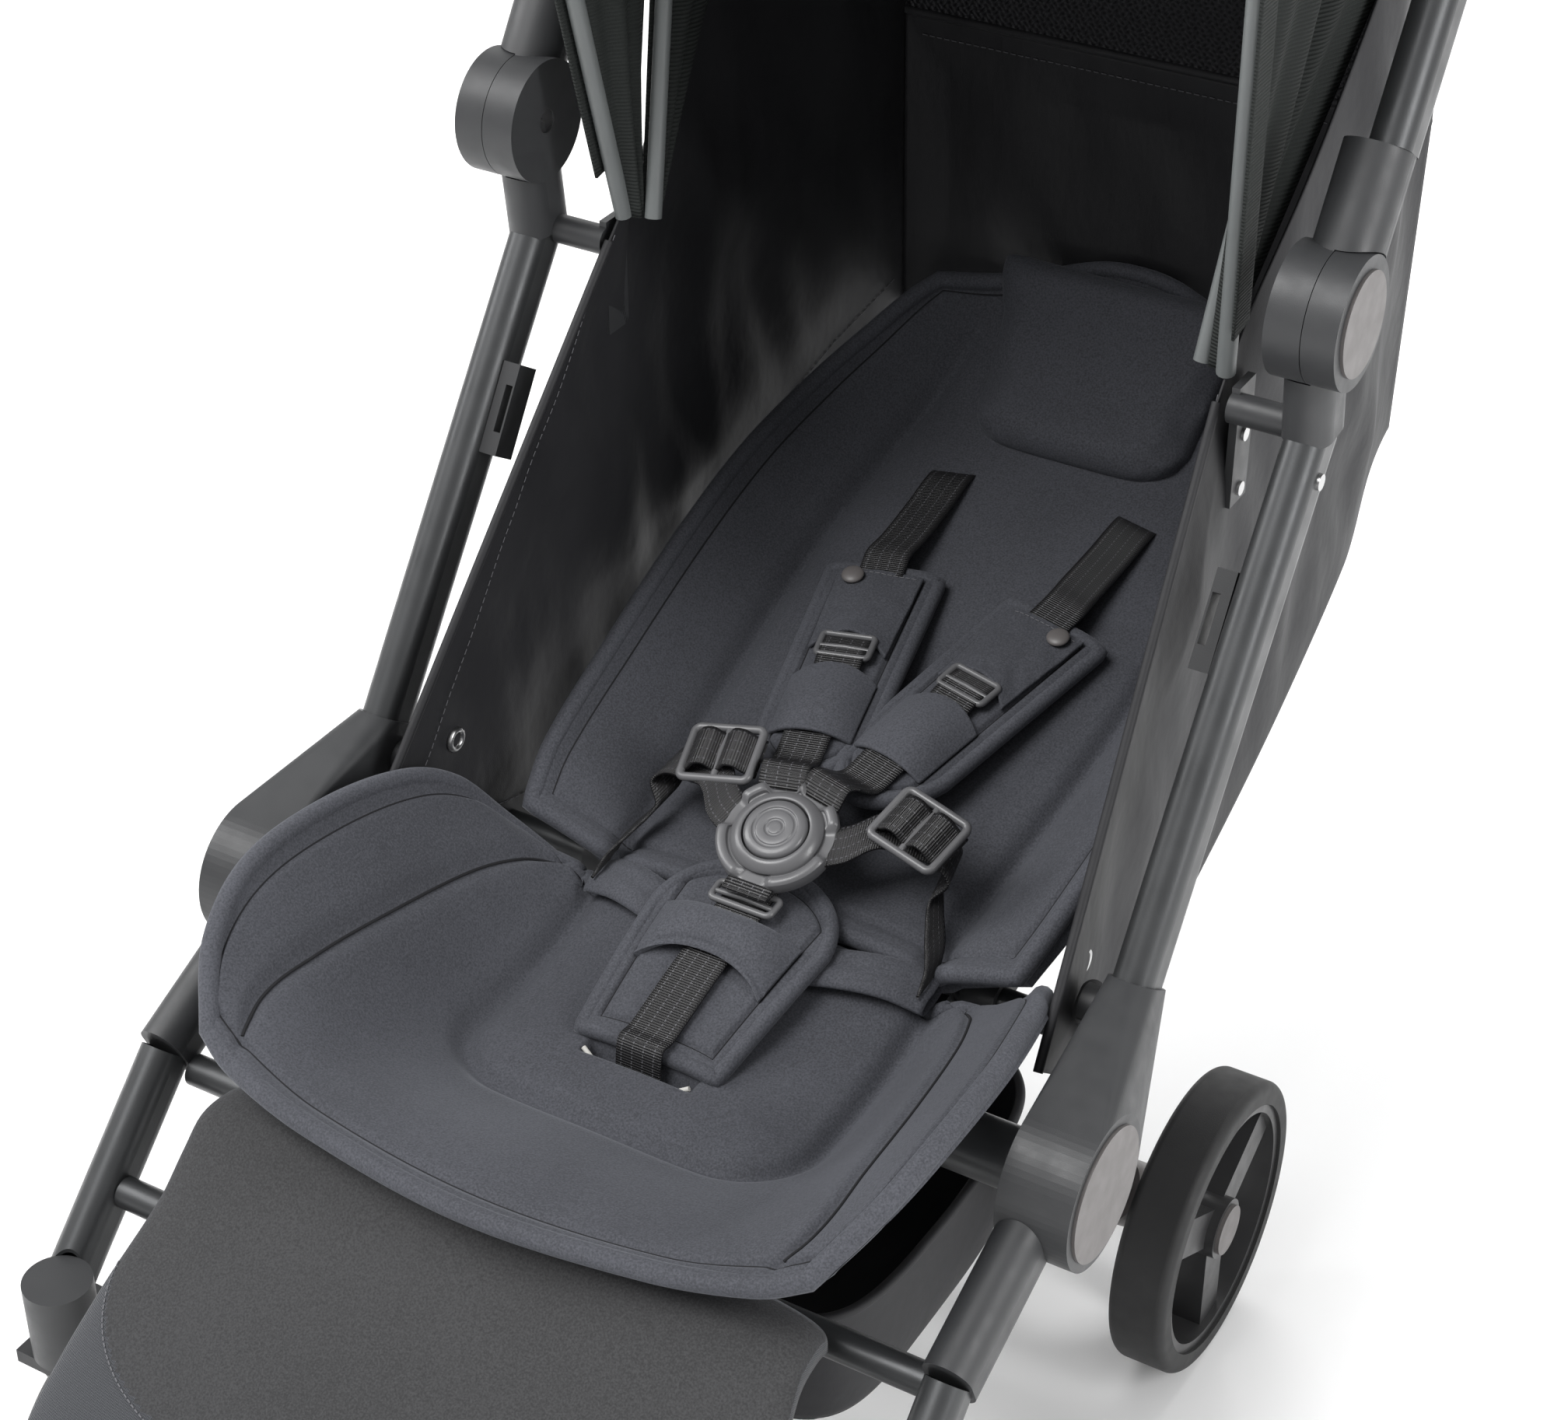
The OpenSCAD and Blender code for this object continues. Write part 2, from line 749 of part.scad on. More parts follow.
module rear_cap_left() {
    mirror([1, 0, 0]) rear_cap_right();
}

module caster_fork_right() {
    color("darkslategray") translate([caster_x, 0, 0]) difference() {
        union() {
            translate([0, caster[0], caster[1] - 2]) cylinder(r = axle_r, h = 35);
            slab(-fork_x - 5, fork_x + 5, [[caster[0] - 14, caster[1] - gap],
                [front_axle[0] + 12, caster[1] - gap], [front_axle[0] + 12, caster[1] - 8],
                [caster[0] - 14, caster[1] - 8]]);
            for (x = [-fork_x - 5, fork_x]) {
                slab(x, x + 5, [[caster[0] - 8, caster[1] - 4],
                    [front_axle[0] + 10, caster[1] - 4], front_axle + [10, 0],
                    front_axle + [-10, 0]]);
                cross(front_axle, 10, x, x + 5);
            }
            cross(front_axle, axle_r, -fork_x, fork_x);
        }
    }
}

module caster_fork_left() {
    mirror([1, 0, 0]) caster_fork_right();
}

module front_wheel_right() {
    color("dimgray") translate([caster_x, front_axle[0], front_axle[1]]) union() {
        wheel(front_r, front_w, axle_r);
        tyre(front_r, front_w);
    }
}

module front_wheel_left() {
    mirror([1, 0, 0]) front_wheel_right();
}

main_tubes();
hinge_housings();
hinge_caps();
frame_pins();
knuckle_housings();
knuckle_caps();
front_leg_brackets();
front_leg_tubes();
caster_housings();
front_crossbar();
seat_front_tube();
seat_side_brackets();
recline_tube();
seat_rails();
seat_base();
seat_cushion();
seat_wings();
side_walls();
back_wall();
window_panel();
canopy_brackets();
canopy_rear_fabric();
frame_rivets();
strap_clips();
basket();
crotch_strap();
crotch_pad();
buckle_body();
buckle_button();
waist_straps();
waist_adjusters();
backrest_board();
backrest_cushion();
head_pillow();
shoulder_straps();
shoulder_pads();
canopy_mid_bow();
canopy_mid_fabric();
canopy_front_bow();
leg_rest_frame();
leg_rest_panel();
handle_arms();
handle_tubes();
handle_bar();
handle_grip();
fold_button();
rear_legs();
rear_leg_boots();
rear_axle();
brake_pedal();
rear_wheel_left();
rear_tyre_left();
rear_wheel_right();
rear_tyre_right();
caster_fork_left();
caster_fork_right();
front_wheel_left();
front_wheel_right();
rear_cap_left();
rear_cap_right();
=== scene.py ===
import math
import bpy
import numpy as np
from functools import lru_cache
from mathutils import Matrix, Vector, noise


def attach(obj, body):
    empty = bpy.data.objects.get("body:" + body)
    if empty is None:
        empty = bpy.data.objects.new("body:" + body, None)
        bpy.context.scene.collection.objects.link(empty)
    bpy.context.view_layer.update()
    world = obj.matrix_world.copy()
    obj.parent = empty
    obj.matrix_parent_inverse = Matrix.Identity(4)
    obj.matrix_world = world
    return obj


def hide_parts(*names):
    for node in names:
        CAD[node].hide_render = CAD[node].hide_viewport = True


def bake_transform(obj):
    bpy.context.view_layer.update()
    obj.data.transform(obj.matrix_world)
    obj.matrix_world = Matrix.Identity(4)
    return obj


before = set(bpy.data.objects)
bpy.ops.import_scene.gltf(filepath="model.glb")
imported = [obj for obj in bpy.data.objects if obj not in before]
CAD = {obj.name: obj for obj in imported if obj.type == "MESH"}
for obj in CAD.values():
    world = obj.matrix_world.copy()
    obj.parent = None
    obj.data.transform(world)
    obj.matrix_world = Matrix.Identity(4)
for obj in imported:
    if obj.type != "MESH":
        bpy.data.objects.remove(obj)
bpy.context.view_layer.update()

# ---------------------------------------------------------------- the camera
# It looks down into the seat from the right of the front.
CAMERA_PLACE = (0.637, -1.0723, 1.2504)
CAMERA_SIDE = 30.526
CAMERA_DOWN = 34.170
bpy.ops.object.select_all(action="DESELECT")
bpy.ops.object.camera_add(location=CAMERA_PLACE,
    rotation=(math.radians(90 - CAMERA_DOWN), 0, math.radians(CAMERA_SIDE)))
camera = bpy.context.object
camera.name = "camera"
camera.data.sensor_fit = "HORIZONTAL"
camera.data.sensor_width = 36
camera.data.lens = 72.19
camera.data.clip_end = 30
bpy.context.scene.camera = camera

# ----------------------------------------------------------- light and floor
# Soft boxes at the left, the right and the back, and one broad light from above,
# over a pale floor.

def soft_box(name, place, aim, size, power):
    bpy.ops.object.light_add(type="AREA", location=place)
    lamp = bpy.context.object
    lamp.name = name
    lamp.data.shape = "RECTANGLE"
    lamp.data.size, lamp.data.size_y = size
    lamp.data.energy = power
    lamp.rotation_euler = (Vector(aim) - Vector(place)).to_track_quat("-Z", "Y").to_euler()


soft_box("left_light", (-2.2, -0.6, 1.9), (0, 0, 0.4), (0.7, 1.6), 34)
soft_box("right_light", (2.5, -0.3, 1.6), (0.1, 0, 0.4), (0.6, 1.8), 44)
soft_box("back_light", (-0.4, 2.4, 2.2), (0, 0.2, 0.5), (2.2, 0.9), 40)
bpy.ops.object.light_add(type="SUN", location=(-1, -0.5, 3))
top_light = bpy.context.object
top_light.name = "top_light"
top_light.data.energy = 2.3
top_light.data.angle = math.radians(32)
top_light.rotation_euler = Vector((0.3, 0.55, -1)).to_track_quat("-Z", "Y").to_euler()
bpy.context.scene.view_settings.view_transform = "Standard"

world = bpy.data.worlds.new("studio")
bpy.context.scene.world = world
world.use_nodes = True
world.node_tree.nodes["Background"].inputs["Color"].default_value = (1, 1, 1, 1)
world.node_tree.nodes["Background"].inputs["Strength"].default_value = 0.5

bpy.ops.object.select_all(action="DESELECT")
bpy.ops.mesh.primitive_plane_add(size=16, location=(0, 0, 0))
floor = bpy.context.object
floor.name = "floor"
bpy.ops.object.transform_apply(location=True, rotation=True, scale=True)


class Wire:
    """One changing value in a finish. Sums on it add the nodes that work them out."""

    def __init__(self, finish, socket):
        self.finish, self.socket = finish, socket

    def sum(self, operation, *values):
        return self.finish.node("ShaderNodeMath", {"operation": operation},
            dict(enumerate(values)))

    def __add__(self, other): return self.sum("ADD", self, other)
    def __radd__(self, other): return self.sum("ADD", other, self)
    def __sub__(self, other): return self.sum("SUBTRACT", self, other)
    def __rsub__(self, other): return self.sum("SUBTRACT", other, self)
    def __mul__(self, other): return self.sum("MULTIPLY", self, other)
    def __rmul__(self, other): return self.sum("MULTIPLY", other, self)
    def __abs__(self): return self.sum("ABSOLUTE", self)
    def sine(self): return self.sum("SINE", self)
    def over(self, other): return self.sum("GREATER_THAN", self, other)


class Finish:
    """A material that is built node by node around one shader."""

    def __init__(self, name, **constants):
        self.material = bpy.data.materials.new(name)
        self.material.use_nodes = True
        self.tree = self.material.node_tree
        self.shader = self.tree.nodes["Principled BSDF"]
        for socket, value in constants.items():
            self.shader.inputs[socket.replace("_", " ")].default_value = value

    def node(self, kind, settings=(), sockets=(), out=0):
        made = self.tree.nodes.new(kind)
        for name, value in dict(settings).items():
            setattr(made, name, value)
        for name, value in dict(sockets).items():
            if isinstance(value, Wire):
                self.tree.links.new(value.socket, made.inputs[name])
            else:
                made.inputs[name].default_value = value
        return Wire(self, made.outputs[out])

    def to(self, socket, wire):
        self.tree.links.new(wire.socket, self.shader.inputs[socket])

    def place(self, kind="Object"):
        return self.node("ShaderNodeTexCoord", out=kind)

    def noise(self, scale, detail=2, stretch=None, where=None):
        where = where or self.place()
        if stretch:
            where = self.node("ShaderNodeMapping", {}, {"Vector": where, "Scale": stretch})
        return self.node("ShaderNodeTexNoise", {},
            {"Vector": where, "Scale": scale, "Detail": detail}, "Fac")

    def split(self, where):
        made = self.tree.nodes.new("ShaderNodeSeparateXYZ")
        self.tree.links.new(where.socket, made.inputs[0])
        return [Wire(self, s) for s in made.outputs]

    def between(self, amount, low, high):
        return self.node("ShaderNodeMix", {"data_type": "RGBA"},
            {"Factor": amount, 6: (*low, 1), 7: (*high, 1)}, 2)

    def spread(self, wire, low, high, new_low, new_high):
        return self.node("ShaderNodeMapRange", {}, {"Value": wire, "From Min": low,
            "From Max": high, "To Min": new_low, "To Max": new_high})

    def bump(self, *layers):
        """Each layer is a height and how far it stands up, in metres."""
        normal = None
        for height, rise in layers:
            sockets = {"Height": height, "Distance": rise, "Strength": 1.0}
            if normal:
                sockets["Normal"] = normal
            normal = self.node("ShaderNodeBump", {}, sockets)
        self.to("Normal", normal)

    def on(self, *objects):
        for piece in objects:
            if piece.material_slots:
                for slot in piece.material_slots:
                    slot.material = self.material
            else:
                piece.data.materials.append(self.material)


paper = Finish("floor_paper", Roughness=0.9)
paper.to("Base Color", paper.between(paper.noise(3), (0.92, 0.92, 0.92), (0.94, 0.94, 0.94)))
paper.on(floor)

# -------------------------------------------------------- side frames and legs
# Oval aluminium tube with a satin dark grey paint, pushed into moulded nylon
# housings and pinned at the two round hinges on each side.


def painted(name, tone, rough=0.38, grain=0.00004):
    """Satin paint on metal, with a slight orange peel and faint handling marks."""
    finish = Finish(name, Metallic=0.55, Coat_Weight=0.12, Coat_Roughness=0.3)
    cloud = finish.noise(22, 3)
    finish.to("Base Color", finish.between(cloud, [c * 0.86 for c in tone],
        [c * 1.12 for c in tone]))
    finish.to("Roughness", finish.spread(finish.noise(60, 4), 0.3, 0.7, rough - 0.05,
        rough + 0.08))
    finish.bump((finish.noise(1400, 2), grain))
    return finish


def moulded(name, tone, rough=0.45, grain=0.00005):
    """Nylon with a fine spark-eroded texture from its mould."""
    finish = Finish(name, Specular_IOR_Level=0.5)
    cloud = finish.noise(30, 3)
    finish.to("Base Color", finish.between(cloud, [c * 0.88 for c in tone],
        [c * 1.1 for c in tone]))
    finish.to("Roughness", finish.spread(finish.noise(90, 4), 0.3, 0.7, rough - 0.05,
        rough + 0.07))
    finish.bump((finish.noise(2600, 2), grain))
    return finish


tube_paint = painted("satin_tube_paint", (0.052, 0.054, 0.056))
housing_nylon = moulded("charcoal_nylon", (0.034, 0.035, 0.037))
dark_nylon = moulded("black_nylon", (0.016, 0.0165, 0.018), 0.5)
cap_nylon = moulded("warm_grey_cap", (0.115, 0.106, 0.104), 0.42, 0.000006)
boot_nylon = moulded("warm_grey_boot", (0.135, 0.122, 0.118), 0.42)
bright_steel = painted("zinc_steel", (0.5, 0.5, 0.5), 0.3)
bright_steel.shader.inputs["Metallic"].default_value = 1
tube_paint.on(*[CAD[n] for n in ("main_tubes", "front_leg_tubes", "front_crossbar",
    "seat_front_tube", "recline_tube", "seat_rails", "leg_rest_frame", "handle_tubes",
    "handle_bar", "rear_legs")])
housing_nylon.on(*[CAD[n] for n in ("hinge_housings", "knuckle_housings",
    "front_leg_brackets", "handle_arms", "caster_housings", "canopy_brackets")])
dark_nylon.on(*[CAD[n] for n in ("seat_side_brackets", "seat_base", "backrest_board",
    "strap_clips", "brake_pedal", "caster_fork_left", "caster_fork_right", "fold_button")])
cap_nylon.on(*[CAD[n] for n in ("hinge_caps", "knuckle_caps", "rear_cap_left",
    "rear_cap_right")])
boot_nylon.on(CAD["rear_leg_boots"])
bright_steel.on(*[CAD[n] for n in ("frame_pins", "frame_rivets", "rear_axle")])

# -------------------------------------------------------------------- wheels
# The rear wheels have a nylon rim and a moulded rubber tyre. The small front
# wheels are moulded whole.
wheel_nylon = moulded("wheel_nylon", (0.03, 0.03, 0.031), 0.35)
tyre_rubber = moulded("tyre_rubber", (0.014, 0.014, 0.0145), 0.62, 0.0001)
wheel_nylon.on(CAD["rear_wheel_left"], CAD["rear_wheel_right"], CAD["front_wheel_left"],
    CAD["front_wheel_right"])
tyre_rubber.on(CAD["rear_tyre_left"], CAD["rear_tyre_right"])

# ----------------------------------------------------------- the handle's grips
# Closed-cell foam sleeves, pushed on to the bar at both sides of its fold lock.
grip_foam = moulded("grip_foam", (0.013, 0.013, 0.0135), 0.75, 0.0002)
grip_foam.on(CAD["handle_grip"])

# ----------------------------------------------------------- the seat insert
# One foam pad under brushed jersey, shaped like a shallow tray: a raised middle
# panel inside a U channel, and a wing that leans out on each side. Its edge is
# bound with a rolled strip of the same jersey.


def eased(table, t):
    """The sizes at t on a smooth line through the table's rows, which start with their t."""
    last = len(table) - 2
    i = next((k for k in range(last + 1) if table[k + 1][0] > t), last)
    low, high = table[i], table[i + 1]
    before = table[i - 1] if i else low
    after = table[i + 2] if i < last else high
    span = high[0] - low[0]
    q = (t - low[0]) / span
    values = []
    for k in range(1, len(low)):
        m0 = (high[k] - before[k]) / (high[0] - before[0]) * span
        m1 = (after[k] - low[k]) / (after[0] - low[0]) * span
        values.append((2 * q ** 3 - 3 * q ** 2 + 1) * low[k] + (q ** 3 - 2 * q ** 2 + q) * m0
            + (3 * q ** 2 - 2 * q ** 3) * high[k] + (q ** 3 - q ** 2) * m1)
    return values


def mm(x, y, z):
    return Vector((x / 1000, y / 1000, z / 1000))


def dip(distance, width):
    """1 on a line and falling smoothly to 0 beside it."""
    return math.exp(-(distance / width) ** 2)


def cut_sheet(name, columns, rows, place):
    """A grid laid out by place(u, v), in millimetres, with its map in UVMap."""
    bpy.ops.object.select_all(action="DESELECT")
    bpy.ops.mesh.primitive_grid_add(x_subdivisions=columns, y_subdivisions=rows, size=2)
    piece = bpy.context.object
    piece.name = piece.data.name = name
    for vertex in piece.data.vertices:
        vertex.co = mm(*place((vertex.co.x + 1) / 2, (vertex.co.y + 1) / 2))
    piece.data.update()
    return piece


def only(piece):
    bpy.ops.object.select_all(action="DESELECT")
    piece.select_set(True)
    bpy.context.view_layer.objects.active = piece


def modify(piece, kind, **settings):
    only(piece)
    modifier = piece.modifiers.new(kind.lower(), kind)
    for name, value in settings.items():
        setattr(modifier, name, value)
    bpy.ops.object.modifier_apply(modifier=modifier.name)


def smooth(piece, angle=None):
    only(piece)
    if angle:
        bpy.ops.object.shade_smooth_by_angle(angle=math.radians(angle))
    else:
        bpy.ops.object.shade_smooth()


def thicken(piece, thickness, side=-1, bevel=0):
    modify(piece, "SOLIDIFY", thickness=thickness / 1000, offset=side)
    if bevel:
        modify(piece, "BEVEL", width=bevel / 1000, segments=2, limit_method="ANGLE",
            angle_limit=math.radians(50))
    smooth(piece)


def lines(name, runs, radius, rounds=2, closed=False):
    """Round strands, one along each run of points in millimetres, as one mesh."""
    curve = bpy.data.curves.new(name, "CURVE")
    curve.dimensions = "3D"
    curve.bevel_depth = radius / 1000
    curve.bevel_resolution = rounds
    curve.use_fill_caps = not closed
    for run in runs:
        spline = curve.splines.new("POLY")
        spline.points.add(len(run) - 1)
        for point, where in zip(spline.points, run):
            point.co = (*mm(*where), 1)
        spline.use_cyclic_u = closed
    piece = bpy.data.objects.new(name, curve)
    bpy.context.scene.collection.objects.link(piece)
    only(piece)
    bpy.ops.object.convert(target="MESH")
    piece = bpy.context.object
    piece.name = piece.data.name = name
    smooth(piece)
    return piece


def stitches(name, path, pitch, length, radius):
    """A row of thread dashes along path(t), t from 0 to 1, in millimetres."""
    fine = [Vector(path(k / 400)) for k in range(401)]
    run = np.concatenate([[0], np.cumsum([(b - a).length for a, b in zip(fine, fine[1:])])])
    at = lambda s: [float(np.interp(s, run, [p[k] for p in fine])) for k in range(3)]
    starts = np.arange(pitch / 2, run[-1] - length, pitch)
    return lines(name, [[at(s), at(s + length / 2), at(s + length)] for s in starts], radius, 0)


def jersey(name, tone):
    """Brushed jersey: a matt pile with a fine heather and a soft sheen at its edges."""
    finish = Finish(name, Sheen_Weight=0.16, Sheen_Roughness=0.45, Specular_IOR_Level=0.25,
        Sheen_Tint=(0.75, 0.78, 0.85, 1))
    heather = finish.noise(1000, 3)
    cloud = finish.noise(14, 3)
    shade = finish.spread(heather, 0.3, 0.7, -0.6, 0.6) + finish.spread(cloud, 0.3, 0.7, -0.2, 0.2)
    finish.to("Base Color", finish.between(shade + 0.5, [c * 0.72 for c in tone],
        [c * 1.28 for c in tone]))
    finish.to("Roughness", finish.spread(cloud, 0.3, 0.7, 0.78, 0.9))
    finish.bump((heather, 0.00022), (finish.noise(420, 2), 0.00012))
    return finish


INSERT_TONE = (0.060, 0.062, 0.072)
insert_jersey = jersey("charcoal_jersey", INSERT_TONE)
binding_jersey = jersey("binding_jersey", [c * 1.08 for c in INSERT_TONE])
pale_thread = moulded("grey_thread", (0.13, 0.13, 0.14), 0.8)
thread = moulded("charcoal_thread", (0.008, 0.008, 0.01), 0.9)

# Each row: share of the depth from the front, then half width, place and height.
SEAT_RIM = [(0, 160, -243, 311), (0.12, 178, -215, 336), (0.28, 187, -175, 351),
    (0.48, 186, -120, 350), (0.68, 177, -68, 340), (0.83, 166, -38, 322),
    (0.93, 150, -22, 296), (1, 126, -14, 276)]
SEAT_FOLD = [(0, 138, -252, 304), (0.12, 148, -217, 313), (0.28, 146, -176, 311),
    (0.48, 141, -121, 303), (0.68, 134, -68, 295), (0.83, 126, -38, 288),
    (0.93, 118, -22, 281), (1, 106, -14, 277)]
SEAT_RING = [(0, 92, -262, 299), (0.12, 100, -224, 291), (0.28, 102, -179, 276),
    (0.48, 101, -125, 264), (0.68, 99, -71, 263), (0.83, 98, -40, 268),
    (0.93, 96, -24, 273), (1, 92, -14, 276)]
SEAT_MIDDLE = [(0, 0, -270, 296), (0.12, 0, -232, 289), (0.28, 0, -186, 273),
    (0.48, 0, -129, 260), (0.68, 0, -76, 260), (0.83, 0, -43, 267),
    (0.93, 0, -26, 273), (1, 0, -14, 277)]
SEAT_DEPTH = 9
SEAT_HALF_SPAN = 190
SEAT_SPAN = 260
# The slot for the crotch strap: its middle, half its length and half its width.
SLOT_X, SLOT_Y, SLOT_HALF_LONG, SLOT_HALF_WIDE = -6, -117, 29, 3.5


def panel_edge(x, y):
    """Distance from the U channel: below 0 inside the raised middle panel."""
    half, front, radius = 97, -163, 38
    qx = abs(x) - (half - radius)
    qy = front + radius + 0.00045 * x * x - y
    return min(max(qx, qy), 0) + math.hypot(max(qx, 0), max(qy, 0)) - radius


@lru_cache(maxsize=None)
def seat_row(v):
    rim, fold, ring, middle = (eased(t, v) for t in (SEAT_RIM, SEAT_FOLD, SEAT_RING,
        SEAT_MIDDLE))
    return [(-0.5, -ring[0], ring[1], ring[2]), (0, *middle), (0.5, *ring), (0.76, *fold),
        (1, *rim)]


def seat_skin(u, v):
    """The insert's upper face; u runs across it and v from its front to its back."""
    side = 2 * u - 1
    a = abs(side)
    x, y, z = eased(seat_row(round(v, 5)), a)
    x = math.copysign(x, side)
    edge = panel_edge(x, y)
    z += (8 if edge < 0 else 5) * (1 - dip(edge, 24)) - 7 * dip(edge, 6.5)
    z -= 5 * dip((a - 0.78) * SEAT_HALF_SPAN, 5) * min(1, v * 12)
    border = min((1 - a) * SEAT_HALF_SPAN, v * SEAT_SPAN, (1 - v) * SEAT_SPAN)
    z -= 3 * dip(border - 9, 2)
    slot = max(abs(x - SLOT_X) - SLOT_HALF_LONG, abs(y - SLOT_Y) - SLOT_HALF_WIDE)
    z -= 15 / (1 + math.exp(slot / 0.9))
    return x, y, z


insert = cut_sheet("seat_insert", 230, 170, seat_skin)
thicken(insert, SEAT_DEPTH, -1, 2)
insert_jersey.on(insert)
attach(insert, "chassis")
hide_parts("seat_cushion", "seat_wings")


def around(skin, inset_u=0.0, inset_v=0.0, drop=0.0, count=260):
    """Points round the border of a skin, a little in from its edge."""
    points = []
    low_u, high_u, low_v, high_v = inset_u, 1 - inset_u, inset_v, 1 - inset_v
    for k in range(count):
        t = 4 * k / count
        leg, q = int(t), t - int(t)
        u, v = [(low_u + (high_u - low_u) * q, low_v), (high_u, low_v + (high_v - low_v) * q),
            (high_u - (high_u - low_u) * q, high_v), (low_u, high_v - (high_v - low_v) * q)][leg]
        x, y, z = skin(u, v)
        points.append((x, y, z - drop))
    return points


seat_binding = lines("seat_binding", [around(seat_skin, drop=4.2)], 5.2, 4, True)
binding_jersey.on(seat_binding)
seat_seam = lines("seat_seam", [around(seat_skin, 0.0237, 0.035, drop=0.2)], 0.7, 2, True)
seat_folds = lines("seat_fold_seams", [[[a + b for a, b in zip(seat_skin(0.5 + s * 0.39,
    0.045 + 0.9 * k / 60), (0, 0, 0.4))] for k in range(61)] for s in (-1, 1)], 0.8, 2)
thread.on(seat_seam, seat_folds)
for piece in (seat_binding, seat_seam, seat_folds):
    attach(piece, "chassis")

# -------------------------------------------------------- the backrest insert
# A long foam pad on the backrest board: flat in the middle, rising at its sides
# into bolsters and at its top into the head end, with the same bound edge.
WAIST = (15.3, 262.2)
RECLINE = math.radians(16)


def on_back(x, u, n):
    """A point x across, u up the backrest and n out from its hinge line."""
    return (x, WAIST[0] + u * math.cos(RECLINE) - n * math.sin(RECLINE),
        WAIST[1] + u * math.sin(RECLINE) + n * math.cos(RECLINE))


# Each row: place up the back, half width at the edge, half width of the flat
# middle, height of the middle and height of the edge.
BACK_ROWS = [(-12, 140, 90, 30, 46), (20, 146, 93, 27, 54), (90, 151, 100, 26, 58),
    (180, 156, 106, 26, 60), (250, 156, 107, 26, 60), (310, 148, 102, 28, 60),
    (350, 136, 94, 37, 64), (385, 118, 82, 58, 74), (412, 92, 62, 80, 84),
    (430, 60, 40, 93, 92)]
BACK_FOOT, BACK_TOP = -12, 424
BACK_HALF_SPAN, BACK_SPAN = 150, 430


def back_height(x, u):
    edge, flat, low, high = eased(BACK_ROWS, u)
    over = (abs(x) - flat) / max(edge - flat, 1)
    n = low + (high - low) * (max(over, 0) ** 1.25)
    n += 5 * (1 - dip(abs(x) - flat, 22)) - 6 * dip(abs(x) - flat, 6) * min(1, (400 - u) / 60)
    return n


def back_skin(u, v):
    side = 2 * u - 1
    top = BACK_TOP - 30 * abs(side) ** 2.6
    along = BACK_FOOT + (top - BACK_FOOT) * v
    edge = eased(BACK_ROWS, along)[0]
    x = side * edge
    border = min((1 - abs(side)) * BACK_HALF_SPAN, v * BACK_SPAN, (1 - v) * BACK_SPAN)
    n = back_height(x, along) - 3 * dip(border - 9, 2)
    return on_back(x, along, n)


back_insert = cut_sheet("back_insert", 160, 220, back_skin)
thicken(back_insert, 14, -1, 2)
insert_jersey.on(back_insert)
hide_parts("backrest_cushion")
back_binding = lines("back_binding", [around(back_skin, drop=4, count=320)], 5, 4, True)
binding_jersey.on(back_binding)
back_seam = lines("back_seam", [around(back_skin, 0.03, 0.021, drop=0.2, count=320)], 0.7, 2,
    True)
thread.on(back_seam)
for piece in (back_insert, back_binding, back_seam):
    mm(*on_back(0, BACK_FOOT, 30))
    mm(*on_back(0, 60, 30))
    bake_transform(piece)

# --------------------------------------------------------------- head pillow
# A wedge of soft foam at the head end, sewn shut all round and blown up by its
# filling, so its faces crown and its corners pull in.


def swollen(piece, pressure=4.0, cap=7.0, voxel=4.5, frames=20):
    """Remeshes a closed piece and lets cloth under pressure swell it by up to cap mm."""
    modify(piece, "REMESH", mode="VOXEL", voxel_size=voxel / 1000)
    start = np.array([v.co for v in piece.data.vertices])
    cloth = piece.modifiers.new("filling", "CLOTH")
    cloth.settings.quality = 5
    cloth.settings.mass = 0.2
    cloth.settings.use_pressure = True
    cloth.settings.uniform_pressure_force = pressure
    cloth.settings.effector_weights.gravity = 0
    cloth.point_cache.frame_start = 1
    cloth.point_cache.frame_end = frames
    for moment in range(1, frames + 1):
        bpy.context.scene.frame_set(moment)
    only(piece)
    bpy.ops.object.modifier_apply(modifier=cloth.name)
    bpy.context.scene.frame_set(1)
    for vertex, at in zip(piece.data.vertices, start):
        move = vertex.co - Vector(at)
        if move.length > cap / 1000:
            vertex.co = Vector(at) + move * (cap / 1000 / move.length)
    modify(piece, "CORRECTIVE_SMOOTH", factor=0.5, iterations=4, use_only_smooth=True)
    modify(piece, "SUBSURF", levels=1, render_levels=1)
    smooth(piece)


def pillow_skin(u, v):
    side = 2 * u - 1
    lower = 316 + 16 * abs(side) ** 6
    along = lower + (414 - lower) * v
    half = 66 + 14 * v ** 0.8
    return on_back(side * half, along, back_height(0, along) + 12)


pillow = cut_sheet("head_cushion", 22, 18, pillow_skin)
thicken(pillow, 15, -1)
swollen(pillow, 3.5, 6)
insert_jersey.on(pillow)
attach(pillow, "backrest")
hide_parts("head_pillow")

# ------------------------------------------------------------- harness webbing
# Black polyester webbing with fine cross ribs and four rows of dotted thread.


def ribbon(name, middle, across, width, thickness, rows):
    """A flat strap along middle(v), as wide as width in the direction across(v)."""
    def place(u, v):
        return Vector(middle(v)) + Vector(across(v)).normalized() * (u - 0.5) * width

    piece = cut_sheet(name, 8, rows, place)
    steps = [Vector(middle(k / 50)) for k in range(51)]
    length = sum((b - a).length for a, b in zip(steps, steps[1:]))
    for loop in piece.data.uv_layers[0].data:
        loop.uv = (loop.uv[0] * width, loop.uv[1] * length)
    thicken(piece, thickness, 0)
    return piece


def along_points(points):
    """A smooth path through the points, as a function of 0 to 1."""
    steps = [0] + list(np.cumsum([(Vector(b) - Vector(a)).length
        for a, b in zip(points, points[1:])]))
    table = [(s / steps[-1], *p) for s, p in zip(steps, points)]
    return lambda t: eased(table, min(max(t, 0), 1))


